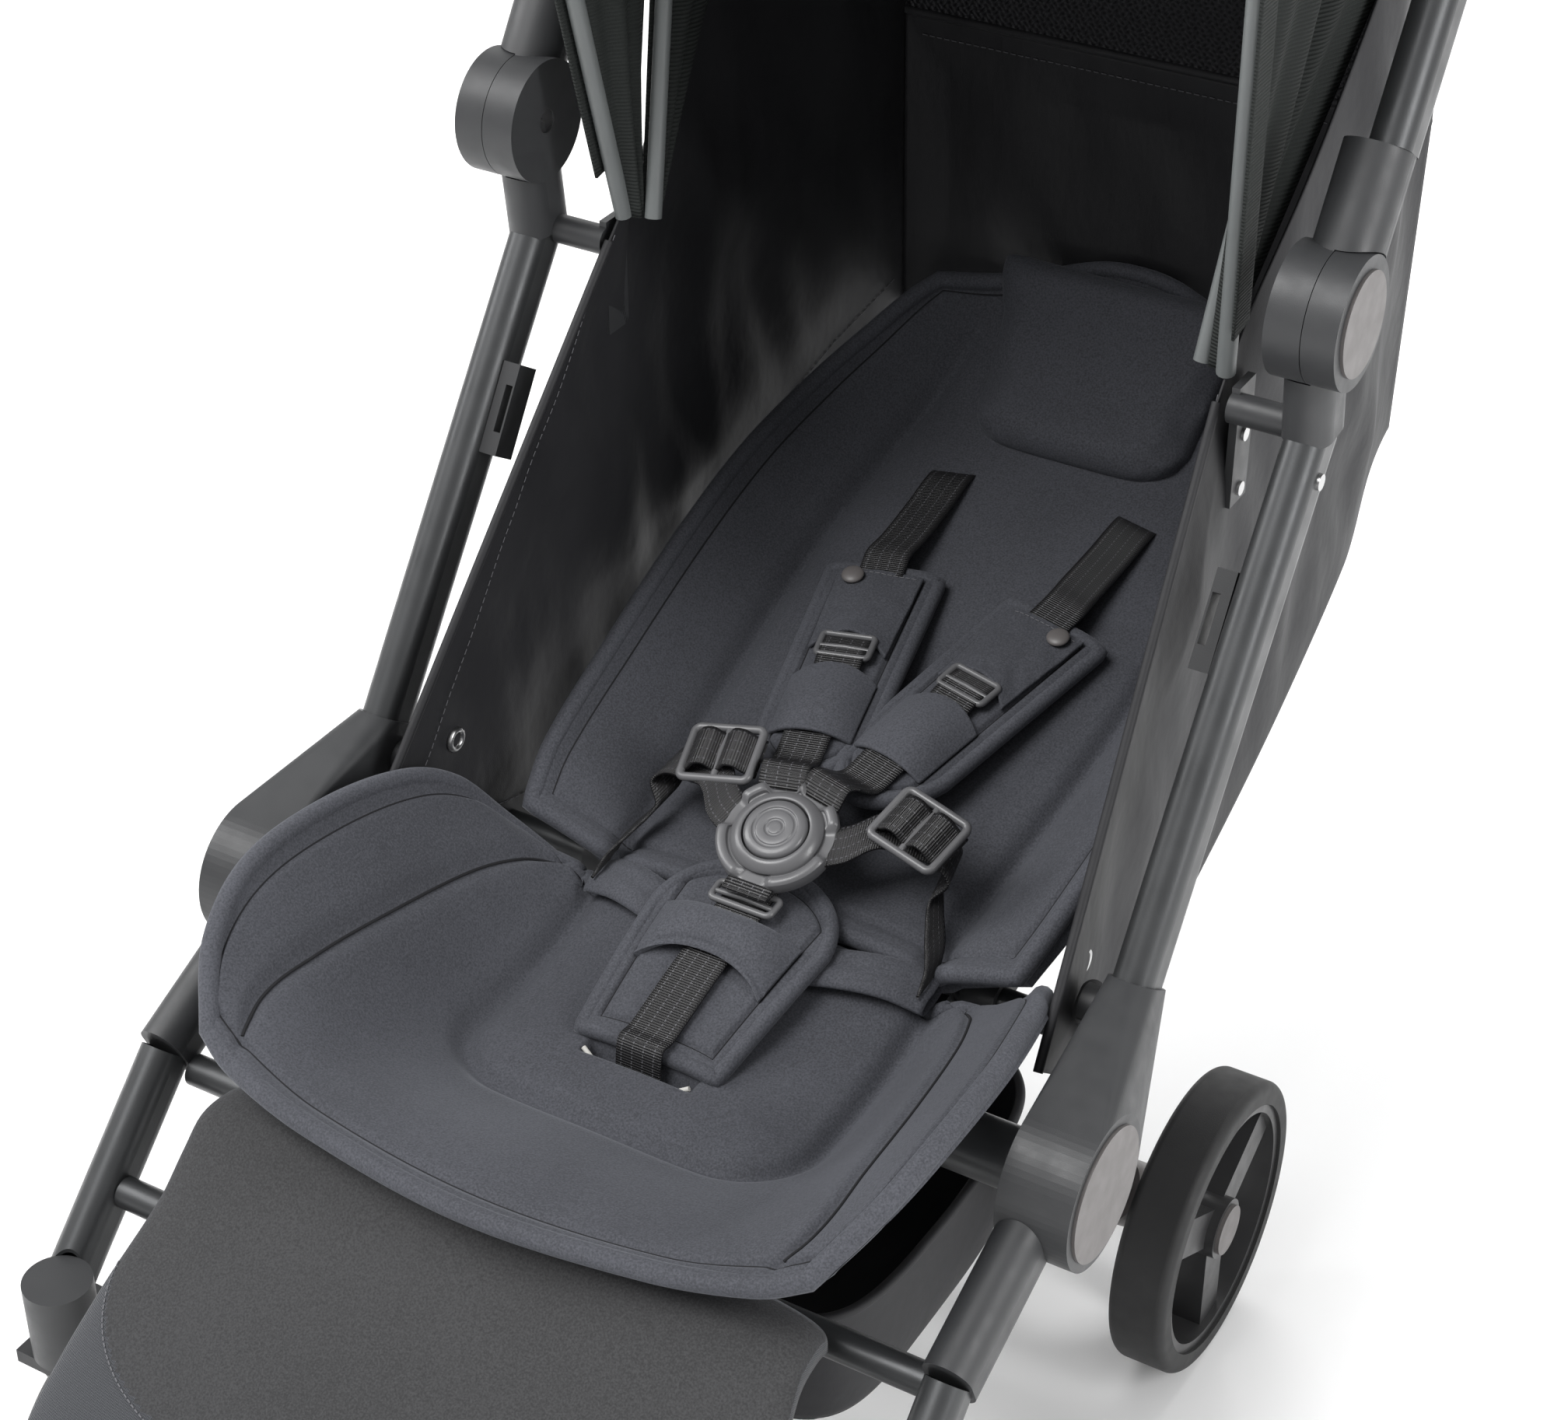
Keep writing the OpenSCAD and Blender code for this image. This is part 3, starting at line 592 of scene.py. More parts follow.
webbing = Finish("black_webbing", Specular_IOR_Level=0.6)
web_x, web_y, _ = webbing.split(webbing.place("UV"))
rib = (web_y * 4.6).sine()
weft = ((web_x + web_y * 0.5) * 7.5).sine()
row = abs(((web_x - 3) * (math.pi / 6)).sine()).over(0.16)
dots = (1 - row) * (web_y * 2.4).sine().over(-0.1)
webbing.to("Base Color", webbing.between(dots, (0.012, 0.0115, 0.0125), (0.1, 0.1, 0.11)))
webbing.to("Roughness", webbing.spread(rib, -1, 1, 0.5, 0.3))
webbing.bump((rib * 0.6 + weft * 0.25, 0.00022), (dots, 0.0003))


def shoulder_place(s, p, q, n):
    """On a shoulder pad: p across it from -1 to 1, q down it from 0 to 1, n above it."""
    top, foot = (s * 51, 206), (s * 19, 58)
    dx, du = foot[0] - top[0], foot[1] - top[1]
    length = math.hypot(dx, du)
    half = 30 - 3 * q
    x = top[0] + dx * q - du / length * half * p
    u = top[1] + du * q + dx / length * half * p
    return on_back(x, u, 40 + 15 * q + n)


# Each pair: share of the pad's length down from its top, and the strap's height.
STRAP_HEIGHT = [(-0.06, 6.6), (0.02, 5.4), (0.1, 4.6), (0.28, 4.8), (0.38, 7), (0.5, 9.5),
    (0.6, 7.2), (0.9, 6.4), (1.02, 6)]

# Two points on the backrest's middle, 24 and 100 mm up it and 45 mm out from its hinge line.
STRAP_BEND = [mm(*on_back(0, u, 45)) for u in (24, 100)]
BUCKLE_PLACE = Vector((0, 2.3, 327.2))
BUCKLE_TILT = math.radians(25)
BOTH_SIDES = ((-1, "left"), (1, "right"))


def at_buckle(x, v, n):
    """A point on the buckle: x across, v up its face and n out of it."""
    return (x, BUCKLE_PLACE[1] + v * math.cos(BUCKLE_TILT) - n * math.sin(BUCKLE_TILT),
        BUCKLE_PLACE[2] + v * math.sin(BUCKLE_TILT) + n * math.cos(BUCKLE_TILT))


for s, hand in BOTH_SIDES:
    across = lambda v, s=s: Vector(shoulder_place(s, 1, 0.5, 0)) - Vector(
        shoulder_place(s, -1, 0.5, 0))
    route = [on_back(s * 56, 302, 26), on_back(s * 56, 292, 33), on_back(s * 54.5, 262, 37),
        on_back(s * 53, 232, 42)] + [shoulder_place(s, 0, q, n)
        for q, n in STRAP_HEIGHT] + [at_buckle(s * 13, 36, 5), at_buckle(s * 10.5, 24, 1)]
    strap = ribbon(f"shoulder_webbing_{hand}", along_points(route), across, 25, 1.5, 130)
    webbing.on(strap)
    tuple(STRAP_BEND[0])
    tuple(STRAP_BEND[1])
    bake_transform(strap)
    if s < 0:
        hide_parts("shoulder_straps")

# -------------------------------------------------------------- shoulder pads
# Each pad is a jersey-covered foam strip with a rolled edge, a snapped flap over
# its upper half and a loop near its foot that holds the webbing.
satin_buckle = moulded("satin_grey_buckle", (0.12, 0.12, 0.125), 0.34, 0.00001)
satin_buckle.shader.inputs["Coat Weight"].default_value = 0.12
satin_buckle.shader.inputs["Coat Roughness"].default_value = 0.15


def frame_loop(name, place, half_long, half_wide, bar, rise, rods_at):
    """A moulded slide: a rounded rectangle of bar, with a thinner rod across at each place."""
    corner = bar * 1.5
    ring = []
    for k in range(48):
        angle = 2 * math.pi * k / 48
        cx, cy = math.cos(angle), math.sin(angle)
        ring.append(place(math.copysign(half_long - corner, cx) + corner * cx,
            math.copysign(half_wide - corner, cy) + corner * cy, rise))
    piece = lines(name, [ring], bar, 3, True)
    rods = lines(name + "_rods", [[place(x, -half_wide, rise), place(x, 0, rise + 1),
        place(x, half_wide, rise)] for x in rods_at], bar * 0.8, 3)
    only(piece)
    rods.select_set(True)
    bpy.ops.object.join()
    return piece


for s, hand in BOTH_SIDES:
    def pad_skin(u, v, s=s):
        p = 2 * u - 1
        q = v * (1.05 - 0.28 * (1 - math.sqrt(1 - 0.97 * p * p)))
        dome = (1 - abs(p) ** 5) * 3.5
        seam = min((1 - abs(p)) * 30, (1 - v) * 140, v * 140 + 4)
        return shoulder_place(s, p, q, dome - 2.2 * dip(seam - 7, 1.3))

    pad = cut_sheet(f"shoulder_pad_{hand}", 84, 150, pad_skin)
    thicken(pad, 8, 1, 1.5)
    pad_edge = lines(f"shoulder_pad_edge_{hand}", [around(pad_skin, drop=3.2)], 4.4, 4, True)
    pad_seam = lines(f"shoulder_pad_seam_{hand}", [around(pad_skin, 0.115, 0.05, drop=0.2)],
        0.55, 2, True)
    thread.on(pad_seam)

    def flap_skin(u, v, s=s):
        p = (2 * u - 1) * (0.8 - 0.04 * v)
        q = 0.03 + v * (0.36 + 0.07 * (2 * u - 1) ** 2)
        lift = 4.6 + 7.5 * (1 - (2 * u - 1) ** 2) * (0.25 + 0.75 * v ** 1.4)
        lift += 0.8 * noise.noise(Vector((u * 3 + s, v * 4, 0)) * 1.3)
        return shoulder_place(s, p, q, lift)

    flap = cut_sheet(f"shoulder_flap_{hand}", 40, 50, flap_skin)
    thicken(flap, 2.2, 1, 0.8)
    flap_row = stitches(f"shoulder_flap_stitches_{hand}", lambda t: [a + b for a, b in zip(
        flap_skin(0.06 + 0.88 * t, 0.06), (0, -0.1, 0.25))], 3.4, 2.4, 0.3)
    pale_thread.on(flap_row)

    def loop_skin(u, v, s=s):
        p = (2 * u - 1) * 0.84
        q = 0.6 + v * 0.29 - 0.05 * (1 - (2 * u - 1) ** 2) * (1 - v)
        lift = 3.5 + (7.5 + 2.5 * math.sin(math.pi * v)) * (1 - abs(2 * u - 1) ** 2.3)
        return shoulder_place(s, p, q, lift)

    loop = cut_sheet(f"shoulder_loop_{hand}", 40, 30, loop_skin)
    thicken(loop, 2.6, 1, 1)
    insert_jersey.on(pad, flap)
    binding_jersey.on(pad_edge, loop)
    slide = frame_loop(f"shoulder_slide_{hand}", lambda x, y, z, s=s: shoulder_place(
        s, y / 30, 0.455 + x / 150, z), 8, 15, 1.8, 8.8, [2])
    satin_buckle.on(slide)
    bpy.ops.object.select_all(action="DESELECT")
    bpy.ops.mesh.primitive_uv_sphere_add(segments=32, ring_count=16, radius=0.0062)
    snap = bpy.context.object
    snap.name = snap.data.name = f"shoulder_snap_{hand}"
    snap.scale = (1, 1, 0.36)
    snap.rotation_euler = (RECLINE, 0, 0)
    snap.location = mm(*shoulder_place(s, s * 0.45, 0.085, 8.6))
    bpy.ops.object.transform_apply(location=True, rotation=True, scale=True)
    smooth(snap)
    cap_nylon.on(snap)
    for piece in (pad, pad_edge, pad_seam, flap, flap_row, loop, slide, snap):
        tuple(STRAP_BEND[0])
        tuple(STRAP_BEND[1])
        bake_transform(piece)
    if s < 0:
        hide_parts("shoulder_pads")

# ---------------------------------------------------------------- the buckle
# A moulded round buckle: five tongues meet in its notched ring, round a dome
# with a push button. The button carries plain rings only.


def close_up():
    """Merges the joined edges of the piece just cut, and turns its faces outwards."""
    bpy.ops.object.mode_set(mode="EDIT")
    bpy.ops.mesh.select_all(action="SELECT")
    bpy.ops.mesh.remove_doubles(threshold=0.00002)
    bpy.ops.mesh.normals_make_consistent(inside=False)
    bpy.ops.object.mode_set(mode="OBJECT")


def turned(name, profile, place, steps, shape=lambda angle, r, n: (r, n)):
    """A round piece: its profile of [radius, height] turned about place's own axis."""
    table = [Vector(p).to_3d() for p in profile]

    def at(u, v):
        k = min(int(v * (len(table) - 1)), len(table) - 2)
        point = table[k].lerp(table[k + 1], v * (len(table) - 1) - k)
        angle = -2 * math.pi * u
        r, n = shape(angle, point[0], point[1])
        return place(r * math.cos(angle), r * math.sin(angle), n)

    piece = cut_sheet(name, steps, (len(profile) - 1) * 2, at)
    close_up()
    modify(piece, "BEVEL", width=0.0004, segments=2, limit_method="ANGLE",
        angle_limit=math.radians(40))
    smooth(piece, 40)
    return piece


TONGUES = [math.radians(a) for a in (70, 110, 8, 172, 270)]


def notched(angle, r, n):
    gap = min(abs((angle - t + math.pi) % (2 * math.pi) - math.pi) for t in TONGUES)
    if r > 24:
        open_part = 1 / (1 + math.exp((gap - 0.3) / 0.02))
        r -= 2.2 * open_part
        n -= max(n - 1, 0) * open_part
    return r, n


buckle = turned("buckle_housing", [(0, -6.5), (25, -6.5), (28, -5), (31, -3), (31.5, 1), (31, 4),
    (29.5, 5.2), (27, 5.2), (25.8, 4.4), (25.4, 2.4), (24.2, 2.2), (23.6, 3.6), (22, 5.4),
    (20, 6.8), (18.4, 7.2), (17.4, 6.8), (17.2, -0.3), (0, -0.3)], at_buckle, 120, notched)
satin_buckle.on(buckle)
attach(buckle, "chassis")
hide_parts("buckle_body")
button = turned("buckle_push_button", [(0, 8.6), (3.4, 8.6), (3.8, 8.1), (5, 8.1), (5.4, 8.7),
    (9.6, 8.6), (10, 8), (11.4, 8), (11.8, 8.7), (14.6, 8.3), (16, 7.4), (16.5, 6), (16.5, 3.2),
    (0, 3.2)], at_buckle, 96)
satin_buckle.on(button)
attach(button, "buckle_button")
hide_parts("buckle_button")

# ------------------------------------------------- waist straps and adjusters
# Short webbing from the buckle through a slide on each side, with its tail
# turned back underneath.
for s, hand in BOTH_SIDES:
    route = [at_buckle(s * 27, 3, 0), at_buckle(s * 36, 8, 1), (s * 48, 22, 336),
        (s * 60, 27, 333), (s * 76, 31, 329), (s * 84, 30, 321), (s * 78, 24, 312),
        (s * 84, 10, 302), (s * 92, -4, 292), (s * 94, -14, 284)]
    across = lambda v, s=s: Vector((-0.35 * s * (1 - v), 1, 0.42 - 0.3 * v))
    strap = ribbon(f"waist_webbing_{hand}", along_points(route), across, 22, 1.5, 90)
    webbing.on(strap)
    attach(strap, "chassis")
    lean = Matrix.Rotation(math.radians(20), 3, "X") @ Matrix.Rotation(
        math.radians(-12 * s), 3, "Z") @ Matrix.Rotation(math.radians(6 * s), 3, "Y")
    centre = Vector((-51, 33, 340) if s < 0 else (66, 26, 340))
    at_slide = lambda x, y, z, centre=centre, lean=lean: centre + lean @ Vector((x, y, z))
    slide = frame_loop(f"waist_slide_{hand}", at_slide, 19, 16, 2.3, 0.5, [0])
    wound = ribbon(f"waist_webbing_loops_{hand}", along_points([at_slide(x, 0, z)
        for x, z in ((-21, -3), (-15, 2), (-11, 6), (-6, 6.5), (-2, 2.5), (0, 1.5), (2, 2.5),
        (6, 6.5), (11, 6), (15, 2), (21, -3))]), lambda v, lean=lean: lean @ Vector((0, 1, 0)),
        23, 1.8, 90)
    webbing.on(wound)
    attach(wound, "chassis")
    satin_buckle.on(slide)
    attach(slide, "chassis")
    if s < 0:
        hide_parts("waist_straps")
        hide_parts("waist_adjusters")

# --------------------------------------------------- crotch pad and its strap
# A tapered jersey pad with a rolled edge. A loop across it holds the webbing,
# which rises from the slot in the seat to the buckle.


def crotch_place(p, q, n):
    """On the crotch pad: p across it, q from its top (0) to its foot (1), n above it."""
    half = 49 - 11 * q ** 1.3
    return (SLOT_X * q + half * p, 4 - 114 * q, 303 - 33 * q + 3 * math.sin(math.pi * q) + n)


def crotch_skin(u, v):
    p = 2 * u - 1
    q = v + (1 - v) * 0.36 * (1 - math.sqrt(1 - 0.98 * p * p))
    seam = min((1 - abs(p)) * 46, (1 - v) * 120, v * 120)
    return crotch_place(p, q, 2.5 * (1 - abs(p) ** 4) - 2.4 * dip(seam - 8.5, 1.4))


crotch_cushion = cut_sheet("crotch_cushion", 120, 130, crotch_skin)
thicken(crotch_cushion, 7, 1, 1.5)
crotch_edge = lines("crotch_pad_edge", [around(crotch_skin, drop=3)], 4.4, 4, True)
crotch_seam = lines("crotch_pad_seam", [around(crotch_skin, 0.093, 0.071, drop=0.2)], 0.6, 2,
    True)
thread.on(crotch_seam)


def band_skin(u, v):
    p = 2 * u - 1
    q = 0.36 + 0.29 * v - 0.07 * (1 - p * p) * v
    lift = 3 + (8 + 6 * math.sin(math.pi * v) ** 0.8) * (1 - abs(p) ** 3)
    return crotch_place(p * 0.84, q, lift - 1.5 * dip((1 - v) * 38 - 4, 1.3))


band = cut_sheet("crotch_pad_loop", 60, 36, band_skin)
thicken(band, 3, 1, 1.2)
insert_jersey.on(crotch_cushion)
binding_jersey.on(crotch_edge, band)
crotch_route = [(SLOT_X, -119, 250), (SLOT_X, -119, 264), (SLOT_X, -116, 277)] + [
    crotch_place(0, q, n) for q, n in ((0.97, 6), (0.86, 6), (0.7, 6.5), (0.5, 7), (0.32, 8),
        (0.16, 11))] + [at_buckle(0, -36, 1), at_buckle(0, -27, 0)]
crotch_web = ribbon("crotch_webbing", along_points(crotch_route), lambda v: (1, 0, 0), 25, 1.5,
    110)
webbing.on(crotch_web)
crotch_slide = frame_loop("crotch_slide", lambda x, y, z: crotch_place(
    y / 44, 0.27 + x / 125, z), 6, 16, 1.8, 10.5, [1])
satin_buckle.on(crotch_slide)
cord_white = moulded("white_cord", (0.5, 0.49, 0.46), 0.7)
ties = lines("slot_cord_ends", [[(SLOT_X + k * 30, -121, 266), (SLOT_X + k * 24, -123, 263),
    (SLOT_X + k * 18, -122, 258)] for k in (-1, 1)], 1.3, 3)
cord_white.on(ties)
for piece in (crotch_cushion, crotch_edge, crotch_seam, band, crotch_web, crotch_slide, ties):
    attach(piece, "chassis")
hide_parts("crotch_pad")
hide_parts("crotch_strap")

# The sleeved thigh straps run from under the crotch pad to the seat's corners.
for s, hand in BOTH_SIDES:
    route = along_points([(s * 34, -32, 283), (s * 56, -27, 286), (s * 78, -20, 284),
        (s * 98, -14, 277)])

    def sleeve_skin(u, v, s=s, route=route):
        x, y, z = route(v)
        angle = 2 * math.pi * u * -s
        fold = 1.2 * dip(math.cos(angle), 0.3) * (math.sin(angle) > 0)
        return (x, y + 13 * math.cos(angle), z + 2 * math.cos(angle)
            + 4.4 * math.sin(angle) - fold)

    sleeve = cut_sheet(f"thigh_sleeve_{hand}", 44, 26, sleeve_skin)
    close_up()
    thicken(sleeve, 1.4, -1)
    binding_jersey.on(sleeve)
    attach(sleeve, "chassis")

# ------------------------------------------------------- side and back walls
# Thin black polyester, cut in three and sewn at the rear corners, hung from the
# frame and the canopy. It is slack, so it lies in soft wrinkles.
shell_cloth = Finish("black_polyester", Specular_IOR_Level=0.3)
fold_height_and_shade = shell_cloth.noise(26, 4, (1, 0.6, 0.45))
# Its base colour follows the fold height: painted shade in the hollows of the folds and a painted
# highlight on their ridges.
shell_cloth.to("Base Color", shell_cloth.between(fold_height_and_shade, (0.013, 0.013, 0.0145),
    (0.026, 0.026, 0.0285)))
shell_cloth.to("Roughness", shell_cloth.spread(fold_height_and_shade, 0.3, 0.7, 0.5, 0.64))
shell_cloth.bump((fold_height_and_shade, 0.0035), (shell_cloth.noise(2200, 2, (1, 1, 0.4)), 0.00006))

# Each row: share of the way from front to back, then half width, place and height.
WALL_FOOT = [(0, 186, -82, 318), (0.16, 177, -16, 268), (0.3, 170, 60, 256),
    (0.5, 170, 150, 290), (0.7, 170, 240, 336), (0.87, 165, 330, 380), (1, 152, 404, 408)]
WALL_TOP = [(0, 165, 116, 562), (0.16, 165, 148, 596), (0.3, 171, 192, 648),
    (0.5, 174, 262, 729), (0.7, 172, 326, 802), (0.87, 160, 364, 842), (1, 140, 388, 866)]
REAR_Y, REAR_FOOT, REAR_SEAM, WINDOW_FOOT = 404, 408, 586, 588


def rear_corner(z):
    """Half width and place of the back wall and its window at a height."""
    above = max(0, (z - WINDOW_FOOT) / 280) ** 3
    widen = min(1, (z - REAR_FOOT) / (REAR_SEAM - REAR_FOOT))
    return 152 + 3 * widen - 18 * above, REAR_Y - 18 * above


def wrinkle(y, z, seed):
    slack = Vector((y * 0.011 + z * 0.004, z * 0.006 - y * 0.003, seed))
    fine = Vector((y * 0.035, z * 0.016 + y * 0.01, seed + 5))
    folds = Vector((y * 0.022 + z * 0.012, z * 0.009 - y * 0.01, seed + 2))
    return 6 * noise.noise(slack) + 7 * noise.noise(folds) + 3.2 * noise.noise(fine)


for s, hand in BOTH_SIDES:
    def wall_skin(u, v, s=s):
        foot, top = eased(WALL_FOOT, u), eased(WALL_TOP, u)
        x, y, z = (a + (b - a) * v for a, b in zip(foot, top))
        corner, near = rear_corner(z), max(0, (u - 0.84) / 0.16) ** 1.5
        x += (corner[0] - x) * near
        y += (corner[1] - (REAR_Y - 16 * v)) * near
        hold = min(1, u * 7, (1 - u) * 6, v * 6, (1 - v) * 6)
        return (s * (x + hold * (0.7 * wrinkle(y, z, s * 3.0) + 2)), y, z)

    wall = cut_sheet(f"side_wall_{hand}", 150, 130, wall_skin)
    thicken(wall, 1.2, 0)
    hem = lines(f"side_wall_hem_{hand}", [[wall_skin(0, k / 60) for k in range(61)]], 2.4, 3)
    row = stitches(f"side_wall_stitches_{hand}", lambda t: [a - b for a, b in zip(
        wall_skin(0.045, 0.02 + 0.96 * t), (s * 1.1, 0, 0))], 4.6, 3, 0.32)
    second = stitches(f"side_wall_stitches_low_{hand}", lambda t: [a - b for a, b in zip(
        wall_skin(0.03 + 0.95 * t, 0.05), (s * 1.1, 0, 0))], 4.6, 3, 0.32)
    eye = Vector(wall_skin(0.085, 0.16))
    eyelet = lines(f"side_wall_eyelet_{hand}", [[eye + Vector((-s * 1.2, 5.2 * math.cos(a),
        5.2 * math.sin(a))) for a in np.linspace(0, 2 * math.pi, 32, endpoint=False)]], 1.7, 3,
        True)
    bright_steel.on(eyelet)
    shell_cloth.on(wall, hem)
    pale_thread.on(row, second)
    for piece in (wall, hem, row, second, eyelet):
        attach(piece, "chassis")
    if s < 0:
        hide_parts("side_walls")


def back_wall_skin(u, v):
    side = 2 * u - 1
    z = REAR_FOOT + (REAR_SEAM - REAR_FOOT) * v
    hold = min(1, v * 5, (1 - v) * 5, (1 - abs(side)) * 6)
    out = hold * (4.5 + 0.4 * wrinkle(side * 140, z, 9))
    return (side * rear_corner(z)[0], REAR_Y + out, z)


back_cloth = cut_sheet("back_wall_cloth", 120, 80, back_wall_skin)
thicken(back_cloth, 1.2, 0)
shell_cloth.on(back_cloth)
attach(back_cloth, "chassis")
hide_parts("back_wall")

# The window above it is knitted mesh in a bound, stitched frame.
mesh_knit = Finish("black_mesh", Roughness=0.6)
mx, _, mz = mesh_knit.split(mesh_knit.place())
courses = (mz * 1250 + (mx * 800).sine() * 0.6).sine()
holes = (mx * 1500 + (mz * 900).sine() * 0.8).sine() * courses
mesh_knit.to("Base Color", mesh_knit.between(holes.over(0.35), (0.024, 0.024, 0.027),
    (0.003, 0.003, 0.004)))
mesh_knit.bump((holes, 0.0008))

# The canopy turns on this pivot, and its rear edge stands at this angle.
PIVOT = (130.0, 560.0)
REAR_ANGLE = 40.2


def window_skin(u, v):
    side = 2 * u - 1
    over = max(0, abs(side) * 146 - 75)
    reach = 320 + math.sqrt(99 ** 2 - over ** 2)
    top_y = PIVOT[0] + reach * math.sin(math.radians(REAR_ANGLE))
    top_z = PIVOT[1] + reach * math.cos(math.radians(REAR_ANGLE))
    z = WINDOW_FOOT + (top_z - WINDOW_FOOT) * v
    bulge = 2.5 * math.sin(math.pi * v) * (1 - side * side)
    return (side * rear_corner(z)[0], REAR_Y + bulge + (top_y - REAR_Y) * v ** 3, z)


window = cut_sheet("window_mesh_panel", 60, 60, window_skin)
thicken(window, 1.4, 0)
mesh_knit.on(window)
window_hem = lines("window_binding", [[window_skin(k / 40, 0) for k in range(41)]], 2.6, 3)
shell_cloth.on(window_hem)
window_row = stitches("window_stitches", lambda t: [a + b for a, b in zip(
    back_wall_skin(0.03 + 0.94 * t, 0.94), (0, -1.4, 0))], 4.6, 3, 0.34)
pale_thread.on(window_row)
for piece in (window, window_hem, window_row):
    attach(piece, "chassis")
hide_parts("window_panel")

# ------------------------------------------------------------------ the canopy
# Ribbed dark green-grey cloth, sewn over two bent bows that turn on pivots at
# the frame. Its front panel spans the bows, and its rear one reaches the window.
CANOPY_R, CANOPY_X, CORNER, FLARE, CANOPY_FOOT = 430, 163.5, 110, math.radians(4.5), 12
CORNER_AT = (75.2, 320)
MID_ANGLE, FRONT_ANGLE = 14.1, -11
canopy_cloth = Finish("ribbed_canopy_cloth", Specular_IOR_Level=0.2)
cx, _, cz = canopy_cloth.split(canopy_cloth.place())
fine_rib = (cz * 3300 + cx * 160).sine()
tone = canopy_cloth.noise(40, 4)
canopy_cloth.to("Base Color", canopy_cloth.between(tone * 0.6 + fine_rib * 0.12 + 0.2,
    (0.016, 0.0175, 0.017), (0.034, 0.038, 0.036)))
canopy_cloth.to("Roughness", canopy_cloth.spread(tone, 0.3, 0.7, 0.75, 0.88))
canopy_cloth.bump((fine_rib, 0.00028), (canopy_cloth.noise(900, 2), 0.0002))
bow_paint = moulded("light_grey_bow", (0.14, 0.15, 0.15), 0.4)


def bow_outline(t, inset):
    """[x, radius] on the canopy's outline, t from -1 at its left foot to 1 at its right."""
    a = abs(t)
    c = CORNER - inset
    if a > 0.42:
        q = (a - 0.42) / 0.58
        start = (CORNER_AT[0] + c * math.cos(FLARE), CORNER_AT[1] - c * math.sin(FLARE))
        end = (CANOPY_X - inset, CANOPY_FOOT)
        x, r = (start[k] + (end[k] - start[k]) * q for k in (0, 1))
    elif a > 0.14:
        angle = math.pi / 2 - (a - 0.14) / 0.28 * (math.pi / 2 + FLARE)
        x, r = CORNER_AT[0] + c * math.cos(angle), CORNER_AT[1] + c * math.sin(angle)
    else:
        x, r = CORNER_AT[0] * a / 0.14, CANOPY_R - inset
    return math.copysign(x, t), r


def on_canopy(t, angle, inset):
    x, r = bow_outline(t, inset)
    turn = math.radians(angle)
    return (x, PIVOT[0] + r * math.sin(turn), PIVOT[1] + r * math.cos(turn))


def canopy_panel(name, low, high, inset, sag, pleats):
    def skin(u, v):
        t = 2 * u - 1
        arch = math.sin(math.pi * v)
        side = min(1, max(0, (abs(t) - 0.2) * 3))
        ripple = pleats * side * math.sin(v * 17 + abs(t) * 9) * arch
        return on_canopy(t, low + (high - low) * v, inset + sag * arch + ripple)

    piece = cut_sheet(name, 190, 60, skin)
    thicken(piece, 1.6, 0)
    canopy_cloth.on(piece)
    return piece


def on_bow(angle):
    """A point in the middle plane, part of the way from the pivot to a bow."""
    turn = math.radians(angle)
    return mm(0, PIVOT[0] + 200 * math.sin(turn), PIVOT[1] + 200 * math.cos(turn))


front_cloth = canopy_panel("canopy_front_panel", FRONT_ANGLE, MID_ANGLE, 2, 6, 2.2)
on_bow(MID_ANGLE)
on_bow(FRONT_ANGLE)
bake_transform(front_cloth)
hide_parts("canopy_mid_fabric")
rear_cloth = canopy_panel("canopy_rear_panel", MID_ANGLE - 0.6, REAR_ANGLE, 7, 7, 2.6)
on_bow(MID_ANGLE)
on_bow(REAR_ANGLE)
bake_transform(rear_cloth)
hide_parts("canopy_rear_fabric")
front_bow = lines("canopy_front_tube", [[on_canopy(k / 80 - 1, FRONT_ANGLE, 0)
    for k in range(161)]], 4.6, 5)
mid_bow = lines("canopy_middle_tube", [[on_canopy(k / 80 - 1, MID_ANGLE, 14)
    for k in range(161)]], 4.4, 5)
front_hem = ribbon("canopy_front_binding", lambda v: on_canopy(1.9 * v - 0.95,
    FRONT_ANGLE + 0.2, -5.2), lambda v: (0, math.cos(0.2), math.sin(0.2)), 17, 1.4, 150)
canopy_cloth.on(front_hem)
bow_paint.on(front_bow, mid_bow)
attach(front_bow, "canopy_front")
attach(front_hem, "canopy_front")
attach(mid_bow, "canopy_mid")
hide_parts("canopy_front_bow")
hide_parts("canopy_mid_bow")

# ---------------------------------------------------------------- the leg rest
# A heather cloth cover drawn over the leg rest's tube frame. Its top panel meets
# a darker twill border at a curved, stitched seam.
heather_cloth = jersey("leg_rest_heather", (0.042, 0.042, 0.0435))
twill_cloth = Finish("leg_rest_twill", Sheen_Weight=0.2, Specular_IOR_Level=0.3)
tx, ty, tz = twill_cloth.split(twill_cloth.place())
twill = ((tx + ty * 0.7) * 4200).sine() * ((tx - tz * 1.4) * 3900).sine()
twill_cloth.to("Base Color", twill_cloth.between(twill * 0.5 + 0.5, (0.03, 0.032, 0.037),
    (0.068, 0.072, 0.081)))
twill_cloth.to("Roughness", twill_cloth.spread(twill, -1, 1, 0.85, 0.7))
twill_cloth.bump((twill, 0.00025))

# Each row: share of the length, then place and height of the top face.
REST_TOP = [(0, -226, 277), (0.05, -238, 281), (0.11, -254, 279.5), (0.17, -267, 267),
    (0.24, -284, 250), (0.5, -325, 223), (0.8, -375, 190.5), (0.93, -398, 173),
    (1, -404, 157)]


def rest_skin(u, v):
    side = 2 * u - 1
    y, z = eased(REST_TOP, v)
    angle = side * math.pi / 2
    half = 160 + 14 * math.sin(min(1, v * 1.3) * math.pi / 2) - 24 * max(0, (v - 0.8) / 0.2) ** 2
    x = half * math.copysign(abs(math.sin(angle)) ** 0.62, side)
    fall = 22 * (1 - abs(math.cos(angle)) ** 0.42)
    crown = 3 * math.cos(angle) * math.sin(math.pi * v)
    return x, y, z - fall + crown + 1.2 * noise.noise(Vector((x * 0.012, y * 0.014, 3)))


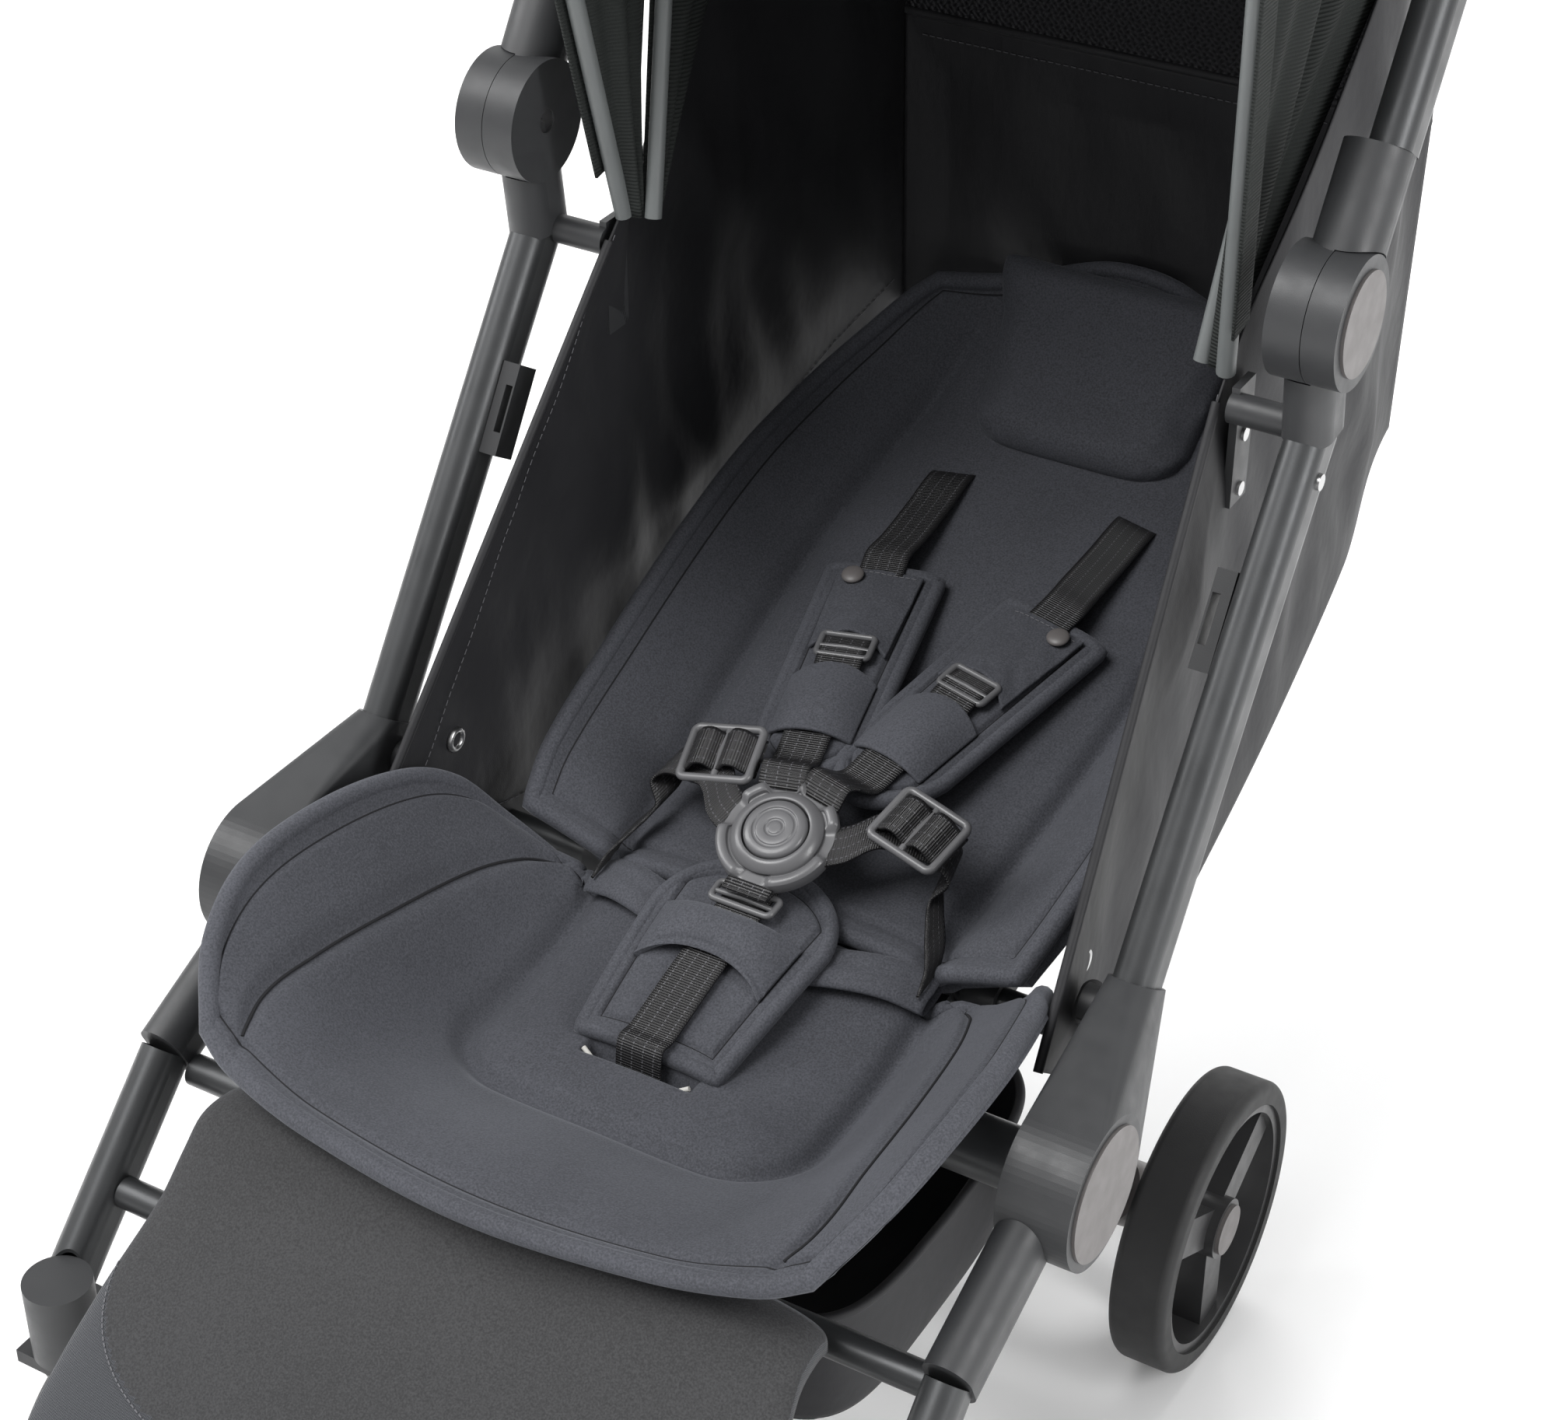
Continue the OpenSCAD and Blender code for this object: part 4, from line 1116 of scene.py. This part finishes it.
rest_cover = cut_sheet("leg_rest_cover", 150, 90, rest_skin)
rest_cover.data.materials.append(heather_cloth.material)
rest_cover.data.materials.append(twill_cloth.material)


def seam_v(u):
    """How far down the leg rest its curved seam lies."""
    return 0.2 + 0.6 * math.sin(math.pi * min(max(u, 0), 1)) ** 0.7


for face in rest_cover.data.polygons:
    u, v = (sum(rest_cover.data.uv_layers[0].data[i].uv[k] for i in face.loop_indices)
        / len(face.loop_indices) for k in (0, 1))
    face.material_index = 1 if v > seam_v(u) or u < 0.03 or u > 0.97 else 0
thicken(rest_cover, 2, 1)
rest_seam = stitches("leg_rest_stitches", lambda t: [a + b for a, b in zip(
    rest_skin(0.07 + 0.86 * t, seam_v(0.07 + 0.86 * t) + 0.012), (0, -0.3, 0.5))], 3.2, 2.1, 0.4)
pale_thread.on(rest_seam)
for piece in (rest_cover, rest_seam):
    mm(0, -243, 282)
    mm(0, -286, 249)
    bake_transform(piece)
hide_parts("leg_rest_panel")

# ------------------------------------------------------------------ the basket
# A slack black cloth tray hung between the legs under the seat. Its floor takes
# this share of the sheet, from the middle out, and its sides take the rest.
BASKET_FLOOR = 0.62


def basket_skin(u, v):
    s, t = 2 * u - 1, 2 * v - 1
    m = max(abs(s), abs(t), 0.001)
    up = max(0, (m - BASKET_FLOOR) / (1 - BASKET_FLOOR))
    q = min(1, m / BASKET_FLOOR)
    reach = q * (abs(s / m) ** 5 + abs(t / m) ** 5) ** (-1 / 5)
    x = s / m * reach * (132 + 7 * up)
    y = -69 + t / m * reach * (103 + 13 * up)
    sag = 6 * (1 - q * q)
    bow = 5 * math.sin(math.pi * min(up, 1)) * (1 - up)
    z = 128 - sag + up * 78 - 6 * up * (1 - abs(s * t) / m / m) + 2 * noise.noise(
        Vector((x * 0.02, y * 0.02, 7)))
    return (x * (1 + bow / 200), y, z)


tray = cut_sheet("basket_cloth", 110, 100, basket_skin)
thicken(tray, 1.6, 0)
basket_rim = lines("basket_rim", [around(basket_skin)], 2.6, 3, True)
shell_cloth.on(tray, basket_rim)
for piece in (tray, basket_rim):
    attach(piece, "chassis")
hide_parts("basket")
